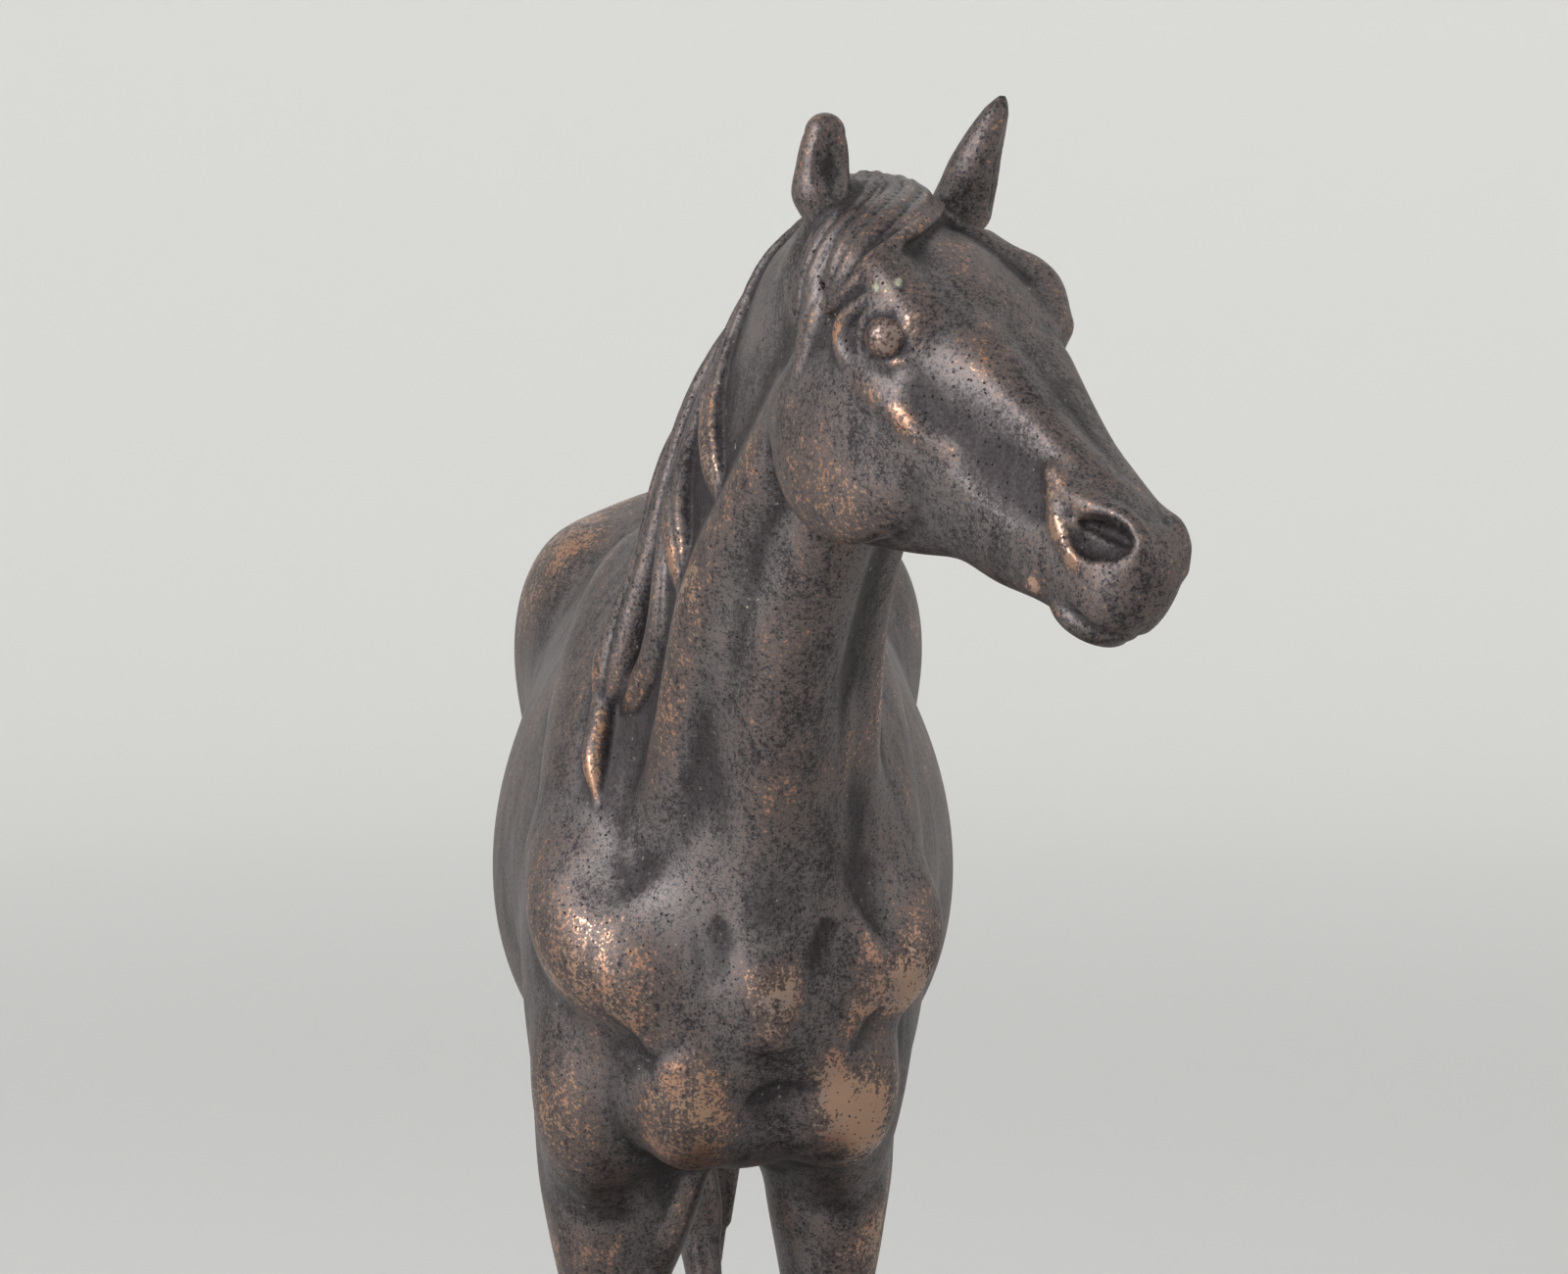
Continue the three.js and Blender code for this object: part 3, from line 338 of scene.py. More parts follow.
def chest():
    p = place
    steps = [
        (Muscle(p(78, -22, 152), p(95, -9, 133), 10.5, 8.5, AHEAD), 4),
        (Muscle(p(78, 22, 150), p(93, 17.5, 132), 9, 7.5, AHEAD), 4),
        (Muscle(p(80, -17.5, 133), p(75, -18, 104), 8.6, 9, AHEAD), 6),
        (Muscle(p(77, 16.5, 131), p(72, 15, 104), 7.6, 8.5, AHEAD), 6),
        (Muscle(p(84, -6, 109.5), p(92.5, -2.5, 132), 9, 8, AHEAD), 3.4),
        (Muscle(p(82, 15, 109.5), p(90, 13, 131), 8.6, 8, AHEAD), 4.5),
        (Muscle(p(66, -3.5, 109), p(66, -9.5, 91), 6, 2.4), 4),
        (Muscle(p(95.5, 5, 152), p(98.6, 5, 128), 5.4, 4.6, AHEAD), 5),
    ]
    for soft, knots in FURROWS:
        steps.append((Rope([[p(*knot[:3]), knot[3]] for knot in knots]), soft, "cut"))
    return steps


# Legs: four legs with their joints, sinews and hooves, cast in one with the body. The flat
# soles are brazed down to the plinth's top, and the right hind leg stands well ahead of the left.

# A leg is a loft down a straight line from body to ground. A row is [height, ahead, half width
# across, half depth fore and aft].
FORELEG = [
    [150, 71, 9, 16],
    [135, 67, 10, 17],
    [122, 64, 10.4, 15.5],
    [111, 62.5, 10.4, 13],
    [103, 61.6, 10, 11.4],
    [95, 61.2, 8.8, 9.8],
    [86, 61.2, 7.1, 8.1],
    [77, 62, 5.9, 6.6],
    [69, 63.2, 6, 6.4],
    [61, 63.2, 6, 6.2],
    [55, 62.4, 4.8, 5.1],
    [48, 62, 3.7, 4.6],
    [37, 61.8, 3.4, 4.6],
    [30, 61.6, 4.3, 5.4],
    [25, 62, 4.7, 5.6],
    [19, 64.3, 3.9, 4.5],
    [14.5, 66.6, 4.5, 5.1],
]

HINDLEG = [
    [168, -70, 12, 26],
    [150, -70, 13, 27],
    [134, -67, 13, 24.5],
    [120, -64.5, 11, 20],
    [107, -66, 8.6, 15],
    [95, -72, 6.4, 11],
    [86, -79.5, 5, 9.2],
    [79, -86, 4.6, 8.8],
    [72, -89, 4.9, 8],
    [64, -89.5, 4.7, 6.6],
    [56, -89, 3.8, 5.5],
    [44, -88.5, 3.2, 4.8],
    [34, -88.5, 3.4, 4.9],
    [29, -88.5, 4.3, 5.7],
    [24.5, -88, 4.5, 5.7],
    [19, -85.5, 3.8, 4.7],
    [14.5, -83, 4.4, 5.3],
]

# How each leg stands: its table, its side, where its line runs left of the middle at its top
# and on the ground, how far the hoof is moved ahead, and its girth.
STANCE = [
    (FORELEG, -1, -17.5, -14.5, 4, 1),
    (FORELEG, 1, 14.5, 14, -4, 0.9),
    (HINDLEG, -1, -17, 2, 19, 0.86),
    (HINDLEG, 1, 17, 14.5, -5, 0.95),
]

CORONET = 14.5
HOOF = [
    [CORONET, 0.4, 5.3, 6.4],
    [CORONET / 2, 1.2, 6.3, 7.8],
    [0, 2.2, 7.4, 9.2],
    [-3, 2.6, 7.8, 9.6],
]
# A leg's line runs straight down to this height, and only below the elbow is its girth its own
PASTERN = 20
ELBOW = 115


def leg(rows, side, start, end, swing, girth):
    top = rows[0][0]

    def drop(up):
        return max(0, min(1, (top - up) / (top - PASTERN)))

    def line(up):
        return start + (end - start) * drop(up)

    def p(ahead, out, up):
        return place(ahead + swing * drop(up), line(up) + side * out * girth, up)

    down = place(0, 0, -1)
    limb_rows = []
    for up, ahead, across, deep in rows:
        middle = ahead + swing * drop(up)
        half = across * (girth if up < ELBOW else 1)
        limb_rows.append([-up, line(up), middle + deep, middle - deep, half, 0])
    toe = rows[-1][1] + swing
    hoof_rows = []
    for up, shift, across, deep in HOOF:
        hoof_rows.append([-up, end, toe + shift + deep, toe + shift - deep, across, 0])
    steps = [
        (Loft(place(0, 0, 0), down, LEFT, limb_rows), 6),
        (Loft(place(0, 0, 0), down, LEFT, hoof_rows, 2.3, (1.6, 1)), 0.8),
    ]
    if rows is HINDLEG:
        return steps + [
            (Rope([[p(-76, 0, 112), 3], [p(-84, 0, 97), 2.4], [p(-96, 0, 83), 2.7]]), 5),
            (Rope([[p(-96.5, 0, 83), 2.6], [p(-94.6, 0, 70), 1.9], [p(-92.6, 0, 58), 1.6]]), 2.5),
            (Muscle(p(-84, 3.4, 74), p(-86, 3.4, 64), 3.4, 1.8), 2.5),
            (Muscle(p(-84, -3.4, 76), p(-87, -3.4, 64), 3.4, 1.8), 2.5),
            (Muscle(p(-48, 5, 126), p(-54, 3, 108), 7, 6), 6),
            (Muscle(p(-92.6, 0, 28), p(-93.4, 0, 23), 2.2, 2.2), 2),
            (Muscle(p(-92, 1.6, 56), p(-91.5, 1.6, 30), 1.7, 1.7), 1.5),
            (Muscle(p(-92, -1.6, 56), p(-91.5, -1.6, 30), 1.7, 1.7), 1.5),
        ]
    return steps + [
        (Muscle(p(71, 3, 117), p(64, 1.4, 84), 4.5, 5), 3),
        (Muscle(p(56, 3.5, 118), p(58, 1.4, 86), 5, 4), 3),
        (Muscle(p(68, -5, 116), p(63, -2.6, 92), 6, 4.6), 3),
        (Muscle(p(48, 1, 121), p(44, 1, 110), 4.5, 5), 4),
        (Muscle(p(68, 0, 70), p(68, 0, 59), 4.2, 2.4, AHEAD), 2.5),
        (Muscle(p(57, 0, 69), p(57, 0, 62), 2.2, 2.2), 2),
        (Muscle(p(57.6, 0, 28), p(56.8, 0, 22.5), 2.2, 2.2), 2),
        (Muscle(p(58.6, 1.6, 56), p(58.6, 1.6, 30), 1.7, 1.7), 1.5),
        (Muscle(p(58.6, -1.6, 56), p(58.6, -1.6, 30), 1.7, 1.7), 1.5),
    ]


# Neck: the column from the shoulders up to the poll, cast in one with the trunk. It bends and
# turns to the left as it rises, with a muscle band and a groove on each side and the windpipe
# down its front.

# A row is [share of the length, side shift, crest, throat, half width, egg, twist]
NECK_FOOT = place(74, 2, 168)
NECK_HEAD = place(116, 13, 218)
NECK_LONG = np.linalg.norm(NECK_HEAD - NECK_FOOT)
NECK = [
    [-0.35, 1.6, 26, -28, 18, -0.1, 2],
    [0, 0, 33, -32, 17, -0.12, 6],
    [0.25, -0.8, 34, -27.5, 14.3, -0.18, 8],
    [0.5, -2, 32.5, -22.5, 12.8, -0.2, 8],
    [0.75, -0.3, 29, -18.5, 11.4, -0.18, 8],
    [1, 1.4, 23, -16, 10, -0.1, 12],
    [1.12, 1.6, 16, -13, 9, 0, 14],
]


def neck_column():
    rows = [[row[0] * NECK_LONG] + row[1:] for row in NECK]
    return Loft(NECK_FOOT, NECK_HEAD - NECK_FOOT, LEFT, rows, 2, (8, 6))


def neck(column):
    def on(share, left, up):
        return column.on(share * NECK_LONG, left, up)

    steps = [(column, 9)]
    for side in SIDES:
        band = [
            [on(1, side * 8, -8), 3],
            [on(0.5, side * 10, -11), 3.6],
            [on(-0.05, side * 11, -20), 4.6],
        ]
        groove = [
            [on(0.95, side * 6.6, -17.5), 1],
            [on(0.5, side * 8.4, -20.5), 1.3],
            [on(0.12, side * 9.6, -31), 0.3],
        ]
        steps += [(Rope(band), 4), (Rope(groove), 2.5, "cut")]
    windpipe = [[on(1.02, 0, -9), 4], [on(0.5, 0, -18.5), 5], [on(0, 0, -28.5), 5.5]]
    return steps + [(Rope(windpipe), 3)]


# Head: the skull with its cheeks, brows, eyes, nostrils and mouth, cast in one with the neck.
# The lids, the nostrils' rims and the line of the lips were rolled on and cut in with a fine
# tool before casting.

# The head's own frame runs from the poll down to the lips, and is turned, dropped and tilted
HEAD_TURN = math.radians(35)
HEAD_DROP = math.radians(31)
HEAD_TILT = math.radians(8)
POLL = place(122, 19, 236.3)

HEAD_T = place(
    math.cos(HEAD_TURN) * math.cos(HEAD_DROP),
    math.sin(HEAD_TURN) * math.cos(HEAD_DROP),
    -math.sin(HEAD_DROP),
)
HEAD_LEVEL = place(-math.sin(HEAD_TURN), math.cos(HEAD_TURN), 0)
HEAD_S = HEAD_LEVEL * math.cos(HEAD_TILT) - np.cross(HEAD_T, HEAD_LEVEL) * math.sin(HEAD_TILT)
HEAD_U = np.cross(HEAD_T, HEAD_S)


def on_head(down, left, up):
    return POLL + HEAD_T * down + HEAD_S * left + HEAD_U * up


# A row is [down the face, side shift, face line, jaw line, half width, egg]
SKULL = [
    [-2, 0, -1, -15, 8.5, 0.1],
    [6, 0, 1.6, -23, 10.6, 0.15],
    [13, 0, 2.8, -31.5, 12.2, 0.2],
    [21, 0, 2.4, -35.2, 12.9, 0.28],
    [30, 0, 0.2, -31.4, 11.2, 0.3],
    [39, 0, -2.4, -26.6, 9, 0.22],
    [47, -0.2, -4, -24.8, 7.2, 0.1],
    [54, -0.4, -4.8, -22.6, 6.6, 0],
    [59, -0.7, -5.2, -21.5, 6.2, 0],
    [62.5, -1, -5.8, -20.9, 5.9, 0],
]


def head():
    steps = [
        (Loft(POLL, HEAD_T, HEAD_S, SKULL, 2.3, (4, 6.2)), 3),
        (Muscle(on_head(56, -0.8, -20.2), on_head(66, -0.8, -20), 4.8, 2.2, HEAD_U), 0.8),
    ]
    for side in SIDES:
        def p(down, out, up):
            return on_head(down, side * out, up)

        # The left brow stands higher, and the left of the face is a little slimmer
        rise = 0.9 if side > 0 else -1.6
        slim = 1.1 if side > 0 else 0
        brow = [
            [p(9, 9.4, rise), 1.9],
            [p(17.5, 12.2, rise + 0.2), 2.3],
            [p(24.4, 11, rise - 1.6), 1.5],
        ]
        cheek_bone = [
            [p(23, 11.2, -13.4), 1.2],
            [p(29, 10.9, -13.2), 1.5],
            [p(37, 8.6, -13.2), 1],
        ]
        ridge = [
            [p(31, 6, -3 - slim), 1.6],
            [p(45, 4.2, -5.6 - slim), 1.4],
            [p(55, 3.4, -6.4 - slim), 1],
        ]
        corner = [
            [p(27, 13, -6.6), 0.35],
            [p(28.4, 12.6, -6), 0.35],
            [p(30, 12, -5.4), 0.2],
        ]
        upper_lid = [
            [p(21.4, 12.9, -11), 0.4],
            [p(20.3, 13.3, -9.2), 0.7],
            [p(19.9, 13.8, -7), 0.8],
            [p(20.7, 14, -4.8), 0.7],
            [p(22.6, 13.9, -3.5), 0.35],
        ]
        lower_lid = [
            [p(21.8, 12.6, -9.6), 0.35],
            [p(23.8, 13, -9.9), 0.5],
            [p(25.8, 12.9, -9), 0.5],
            [p(27.2, 12.4, -7.6), 0.3],
        ]
        fold = [
            [p(21.4, 12.5, -12.3), 0.5],
            [p(18.6, 12.9, -12.3), 0.9],
            [p(16.9, 13.2, -10.9), 1.1],
            [p(16.7, 13.7, -8.5), 1.1],
            [p(17.9, 13.9, -5.9), 1],
            [p(19.8, 13.8, -3.7), 0.6],
            [p(22, 13.3, -2.7), 0.3],
        ]
        rim = [
            [p(50.4, 6.2 - slim, -8), 0.4],
            [p(53.1, 6.5 - slim, -10), 0.7],
            [p(55.9, 6.6 - slim, -11.7), 0.8],
            [p(59.3, 6.4 - slim, -13), 0.7],
            [p(62.8, 5.8 - slim, -13), 0.4],
        ]
        flap = [
            [p(50.6, 5.9 - slim, -7.6), 0.6],
            [p(55, 5.9 - slim, -8.2), 1.2],
            [p(58.8, 5.3 - slim, -7.3), 1.3],
            [p(62.4, 4.4 - slim, -6.5), 1.1],
            [p(65, 4 - slim, -7.4), 0.9],
            [p(66, 4.4 - slim, -9.6), 0.6],
        ]
        slot = [
            [p(57.8, 5.6 - slim, -9.8), 0.5],
            [p(60.6, 4.6 - slim, -9), 1],
            [p(63.4, 3.8 - slim, -8.6), 0.5],
        ]
        mouth = [
            [p(56.2, 6.2, -20.2), 0.35],
            [p(59, 6.6, -19.4), 0.55],
            [p(62.4, 5.8, -18.7), 0.6],
            [p(65.6, 4, -18.7), 0.7],
            [p(68.4, 0, -18.6), 0.7],
        ]
        steps += [
            # the flat round cheek, the bones of the brow and the cheek, the ridge along the face
            (Muscle(p(6.5, 8.2, -20.5), p(34 - slim, 6.8, -21.5 + slim), 13.6 - slim, 5.2, HEAD_S), 2),
            (Muscle(p(16, 7.9, -15.5), p(34, 7.5, -15.5), 4.5, 3, HEAD_S), 3),
            (Rope(brow), 5),
            (Rope(cheek_bone), 2.2),
            (Rope(ridge), 4),
            # hollows over the brow and between the ridge and the nose
            (Muscle(p(9, 12, 0), p(14, 12.4, -0.5), 2.2, 1.4, HEAD_S), 3, "cut"),
            (Muscle(p(32, 12, -9), p(50, 8.2, -11), 3.4, 1.8, HEAD_S), 4, "cut"),
            # the eye in its socket, under its lids
            (Muscle(p(19.8, 14.1, -8), p(26.4, 13.6, -6.8), 3, 1.6, HEAD_S), 0.7, "cut"),
            (Muscle(p(20.7, 12.8, -6.7), p(26.3, 12.8, -6.7), 2.8, 2.8, HEAD_S), 0.25),
            (Rope(fold), 0.9),
            (Rope(upper_lid), 0.5),
            (Rope(lower_lid), 0.5),
            (Rope(corner), 0.5, "cut"),
            # nostril, lips and the corner of the mouth
            (Rope(rim), 1.6),
            (Rope(flap), 1.6),
            (Muscle(p(57.4, 7.2 - slim, -11), p(65.2, 4.8 - slim, -8.2), 2.6, 1.6, HEAD_S), 0.6, "cut"),
            (Rope(slot), 0.5, "cut"),
            (Muscle(p(53.4, 5, -20), p(56.4, 5, -19.8), 1.1, 1.1), 1),
            (Rope(mouth), 0.6, "cut"),
        ]
    jaw_gap = [[on_head(13, 0, -33.5), 1.2], [on_head(25, 0, -37.4), 2.6], [on_head(42, 0, -29.4), 1.6]]
    return steps + [(Rope(jaw_gap), 3, "cut")]


# Ears: two leaf-shaped cups set on the poll, the left one pricked and the right one turned
# away, so that its top is short and round. They are cast in one with the head, and their
# insides were scooped out of the model.

# Each ear is its root, its tip, the way it opens and its radii
EARS = [
    ((-1.5, -9.6, -0.4), (-4, -10.8, 6), (1, -0.3, 0.25), (3.3, 3.3, 3.1, 2.8, 2.5)),
    ((-1.2, 12.8, 1.4), (-3, 12.4, 16.2), (0.8, 0.6, 0.2), (3.6, 3.6, 2.7, 1.6, 0.4)),
]


def ears():
    steps = []
    for root, tip, opening, wide in EARS:
        a, b = on_head(*root), on_head(*tip)
        mouth = unit(HEAD_T * opening[0] + HEAD_S * opening[1] + HEAD_U * opening[2])

        def at(share, shift):
            return a * (1 - share) + b * share + mouth * shift

        stem = [[on_head(1, root[1] * 0.7, -4), 3.2], [a, wide[0]]]
        body = [[at(share, 0), radius] for share, radius in zip((0, 0.3, 0.62, 0.86, 1), wide)]
        cup = [[at(0.1, 3.6), 0.8], [at(0.4, 3.6), 1.9], [at(0.75, 3.5), 1.7], [at(1.15, 3.7), 1.2]]
        steps += [(Rope(stem), 1.2), (Rope(body), 1.2), (Rope(cup), 1.4, "cut")]
    return steps


# Forelock: locks combed to the right over the brow and down the cheek, with fine strands
# scored along them, cast in one with the head on a pad of hair over the poll.

# Locks by [down, left, up, radius] on the head, from the poll to the tip, with how flat each is
# and how many strands it has
FORELOCK = [
    (
        0.42,
        5,
        [
            [-4, -1.4, 1, 3.2],
            [-0.4, -5.2, 0.2, 3.6],
            [3.2, -8.8, -1.8, 3.8],
            [4.6, -10.8, -6, 3.4],
            [5.8, -11.4, -10.6, 2.8],
            [7.4, -11.7, -14, 1],
        ],
    ),
    (
        0.6,
        2,
        [[6.6, -10.4, -5, 1.6], [9.2, -11.7, -10, 2.2], [10.2, -12, -14.4, 1.6], [11, -12, -19, 0.5]],
    ),
    (
        0.42,
        5,
        [
            [-3, 3, 1.8, 3],
            [3, -0.4, 2.8, 3.8],
            [9.8, -7.6, 2.2, 4.2],
            [12.6, -12.2, -1.6, 4],
            [12.9, -13.2, -5.6, 3.2],
            [12.2, -13.2, -9, 1.2],
        ],
    ),
    (
        0.8,
        0,
        [
            [4.6, 3.6, 3.2, 0.8],
            [11, -3.4, 3.7, 0.9],
            [15.8, -11.4, 1.6, 0.9],
            [15.8, -14, -3.6, 0.8],
            [13, -13.6, -9, 0.5],
        ],
    ),
    (0.6, 3, [[-3, 4.6, 1, 1.6], [5, 6.8, 1.4, 1.9], [11, 8.6, 1.8, 1.4], [15.6, 9.6, 1.6, 0.5]]),
]
STRAND_DEPTH = 0.18


def forelock():
    hub = on_head(10, 0, -16)
    steps = [(Muscle(on_head(-6, 0.3, -0.4), on_head(6.5, 2.3, 1), 6, 2.8, HEAD_U), 2)]
    for flat, strands, lock in FORELOCK:
        knots = [[on_head(*k[:3]), k[3], unit(on_head(*k[:3]) - hub)] for k in lock]
        steps.append((Rope(knots, flat, strands, STRAND_DEPTH), 0.8))
    return steps


# Mane: heavy locks that fall from the crest over the right of the neck, each with a few
# strands scored along it. They are cast in one with the neck.

# Locks from the crest to the tip: how flat each is and its knots, [share of the neck's length,
# angle round the neck from its crest, radius, lift]
MANE_LOCKS = [
    (0.6, [[0.33, 0, 3, 0.5], [0.18, -35, 3.6, 0.5], [0.04, -62, 3, 0.5], [-0.08, -80, 0.7, 0.5]]),
    (
        0.6,
        [
            [0.55, 0, 3, 0.5],
            [0.38, -42, 3.6, 0],
            [0.2, -66, 3.6, 0.5],
            [0.06, -78, 3, 0.5],
            [-0.06, -86, 0.7, 0.5],
        ],
    ),
    (
        0.9,
        [
            [0.78, -2, 3, 0.5],
            [0.62, -42, 2.6, -0.6],
            [0.48, -68, 2.6, -0.6],
            [0.34, -80, 3.2, 0.2],
            [0.2, -86, 4.6, 1.1],
            [0.1, -90, 4.6, 1.4],
            [0.02, -94, 1.6, 1.6],
        ],
    ),
    (
        0.7,
        [
            [0.5, -84, 1.6, 0],
            [0.42, -98, 2.2, 0.1],
            [0.34, -104, 2.6, 0.2],
            [0.24, -104, 2.6, 0.4],
            [0.14, -101, 2.2, 0.6],
            [0.06, -98, 0.8, 0.8],
        ],
    ),
    (
        0.6,
        [
            [0.92, -4, 2.6, 0.5],
            [0.8, -40, 2.6, -0.6],
            [0.66, -72, 2.8, -0.4],
            [0.58, -92, 3.6, 0.2],
            [0.53, -108, 3.2, 0.4],
            [0.48, -123, 0.6, 0.4],
        ],
    ),
    (
        0.6,
        [
            [1.06, -4, 2.2, 0.5],
            [0.98, -36, 2.4, -0.6],
            [0.86, -60, 2.6, -0.4],
            [0.77, -82, 3.2, 0.1],
            [0.73, -102, 2.8, 0.3],
            [0.7, -123, 0.6, 0.3],
        ],
    ),
]
# The tip of the longest lock, which turns inward over the shoulder
HOOK = [
    [place(78.4, -15.6, 177), 1.6],
    [place(82.4, -16.8, 170), 1.9],
    [place(85, -17.8, 164), 1.8],
    [place(86.6, -17.4, 159), 0.5],
]
CREST = [
    [1.08, 0, 2.2, -0.6],
    [0.8, 0, 2.6, -0.6],
    [0.4, 0, 2.8, -0.6],
    [0, 0, 2.4, -0.6],
    [-0.3, 0, 1.4, -0.6],
]
MANE_STRANDS = 3
MANE_STRAND_DEPTH = 0.14


def mane(column):
    def skin(share, angle, radius, lift):
        return column.skin(share * NECK_LONG, angle, lift, radius)

    steps = [(Rope([skin(*k) for k in CREST]), 3)]
    for flat, lock in MANE_LOCKS:
        steps.append((Rope([skin(*k) for k in lock], flat, MANE_STRANDS, MANE_STRAND_DEPTH), 0.6))
    return steps + [(Rope(HOOK), 0.8)]


# Tail: one thick hanging lock with a thinner one on each side, cast in one with the croup and
# standing clear of the hind legs.

# Each lock is its side shift, its share of the radius, the height of its end and its softness
TAIL = [(0, 1, 50, 3), (4.5, 0.62, 58, 1.2), (-4.5, 0.62, 64, 1.2)]


def tail():
    steps = []
    for shift, radius, end, soft in TAIL:
        knots = [
            [place(-88, 0, 186), 4.5 * radius],
            [place(-99, shift * 0.4, 184), 5 * radius],
            [place(-107.5, shift * 0.8, 166), 7 * radius],
            [place(-110, shift, 140), 8.4 * radius],
            [place(-109.5, shift, 110), 7.4 * radius],
            [place(-108, shift * 0.7, 80), 5 * radius],
            [place(-107, shift * 0.4, end), 1],
        ]
        steps.append((Rope(knots), soft))
    return steps


# Horse: the whole animal as one hollow casting in a copper alloy, all the forms above in one. It
# was bronzed dark by hand, is rubbed through on the high places, and keeps its cast pits.

# The form is read in cells of this size, so that only the shapes near a point are worked out.
# NEAR is how far off its box a shape can still matter, besides its softness, and CELL_KEY packs
# a cell's place into one number.
CELL = 8.0
NEAR = 2.5
CELL_KEY = 4001


def horse_steps():
    column = neck_column()
    steps = trunk()
    for stance in STANCE:
        steps += leg(*stance)
    return steps + chest() + neck(column) + head() + ears() + mane(column) + forelock() + tail()


def smooth_min(a, b, k):
    h = np.maximum(k - np.abs(a - b), 0) / k
    return np.minimum(a, b) - h * h * k * 0.25


def smooth_max(a, b, k):
    return -smooth_min(-a, -b, k)


class Form:
    def __init__(self, steps):
        self.steps = steps
        self.low = np.array([s[0].low for s in steps])
        self.high = np.array([s[0].high for s in steps])
        self.adds = np.array([len(s) == 2 for s in steps])
        # A shape matters as far off as the softest step after it that it can meet
        self.margin = np.empty(len(steps))
        softs = np.array([s[1] for s in steps])
        for i, (shape, *_) in enumerate(steps):
            apart = np.maximum(self.low[i:] - shape.high, shape.low - self.high[i:])
            gaps = np.linalg.norm(np.maximum(apart, 0), axis=1)
            self.margin[i] = 1.1 * softs[i:][gaps <= softs[i:]].max() + NEAR
            shape.margin = self.margin[i]

    def at(self, points):
        out = np.empty(len(points))
        cells = np.floor(points / CELL).astype(np.int64)
        keys = (cells[:, 0] * CELL_KEY + cells[:, 1]) * CELL_KEY + cells[:, 2]
        order = np.argsort(keys, kind="stable")
        cuts = np.nonzero(np.diff(keys[order]))[0] + 1
        for group in np.split(order, cuts):
            near = points[group]
            apart = np.maximum(self.low - near.max(0), near.min(0) - self.high)
            gaps = np.linalg.norm(np.maximum(apart, 0), axis=1)
            close = gaps <= self.margin
            far = gaps[self.adds & ~close]
            d = np.full(len(near), FAR)
            for i in np.nonzero(close)[0]:
                shape, soft = self.steps[i][:2]
                value = shape.at(near)
                d = smooth_min(d, value, soft) if self.adds[i] else smooth_max(d, -value, soft)
            out[group] = np.minimum(d, far.min()) if len(far) else d
        return np.maximum(out, -points[:, 2])

    def slope(self, points, h=0.05):
        d = self.at(points)
        steps = [self.at(points + h * axis) for axis in np.eye(3)]
        return d, np.stack([(s - d) / h for s in steps], 1)


MM = 0.001
# Where the horse's own space lies in the part's frame
HORSE_PLACE = np.array([0, 8, 12], float)
# The fine skin: the size of its facets, how many are kept, and how near two points are one
SKIN_STEP = 0.5
SKIN_TRIANGLES = 190000
WELD = 0.001


def read_points(mesh):
    flat = np.empty(len(mesh.vertices) * 3)
    mesh.vertices.foreach_get("co", flat)
    return flat.reshape(-1, 3) / MM - HORSE_PLACE


def write_points(mesh, points):
    mesh.vertices.foreach_set("co", ((points + HORSE_PLACE) * MM).ravel())
    mesh.update()


def read_normals(mesh):
    flat = np.empty(len(mesh.vertices) * 3, np.float32)
    mesh.vertex_normals.foreach_get("vector", flat)
    return flat.reshape(-1, 3).astype(float)


def bake(piece):
    """Replaces a piece's mesh by what its modifiers make of it."""
    graph = bpy.context.evaluated_depsgraph_get()
    mesh = bpy.data.meshes.new_from_object(piece.evaluated_get(graph))
    piece.modifiers.clear()
    piece.data = mesh
    return mesh


def remeshed(source, name):
    mesh = source.data.copy()
    bm = bmesh.new()
    bm.from_mesh(mesh)
    bmesh.ops.remove_doubles(bm, verts=bm.verts, dist=WELD * MM)
    bm.to_mesh(mesh)
    bm.free()
    piece = bpy.data.objects.new(name, mesh)
    bpy.context.collection.objects.link(piece)
    finer = piece.modifiers.new("finer", "REMESH")
    finer.mode = "VOXEL"
    finer.voxel_size = SKIN_STEP * MM
    bake(piece)
    return piece


# How far a point may move in a round, first along its normal and then down the form's slope,
# and how near the ground it counts as part of a sole
NORMAL_ROUNDS = 3
NORMAL_MOVE = 0.6
SLOPE_MOVES = (0.4, 0.2)
SOLE = 0.15


def settle_along_normals(form, mesh):
    points = read_points(mesh)
    for _ in range(NORMAL_ROUNDS):
        normals = read_normals(mesh)
        points = points - normals * np.clip(form.at(points), -NORMAL_MOVE, NORMAL_MOVE)[:, None]
        write_points(mesh, points)


def settle_down_slope(form, mesh):
    points = read_points(mesh)
    d, slope = form.slope(points)
    steep = np.linalg.norm(slope, axis=1, keepdims=True) + 1e-9
    way = slope / steep
    first, second = SLOPE_MOVES
    points = points - way * np.clip(d[:, None] / steep, -first, first)
    points = points - way * np.clip(form.at(points)[:, None] / steep, -second, second)
    # The soles stay flat on the plinth
    points[:, 2] = np.where(points[:, 2] < SOLE, 0, points[:, 2])
    write_points(mesh, points)
    return points


def neighbour_mean(values, edges, counts):
    total = np.zeros_like(values)
    for a, b in ((0, 1), (1, 0)):
        for c in range(values.shape[1]):
            total[:, c] += np.bincount(edges[:, a], values[edges[:, b], c], len(values))
    return total / counts


# Rounds of smoothing for the near and the wide surroundings, and how much of itself a point keeps
SMOOTH_ROUNDS = (8, 40)
KEPT = 0.3


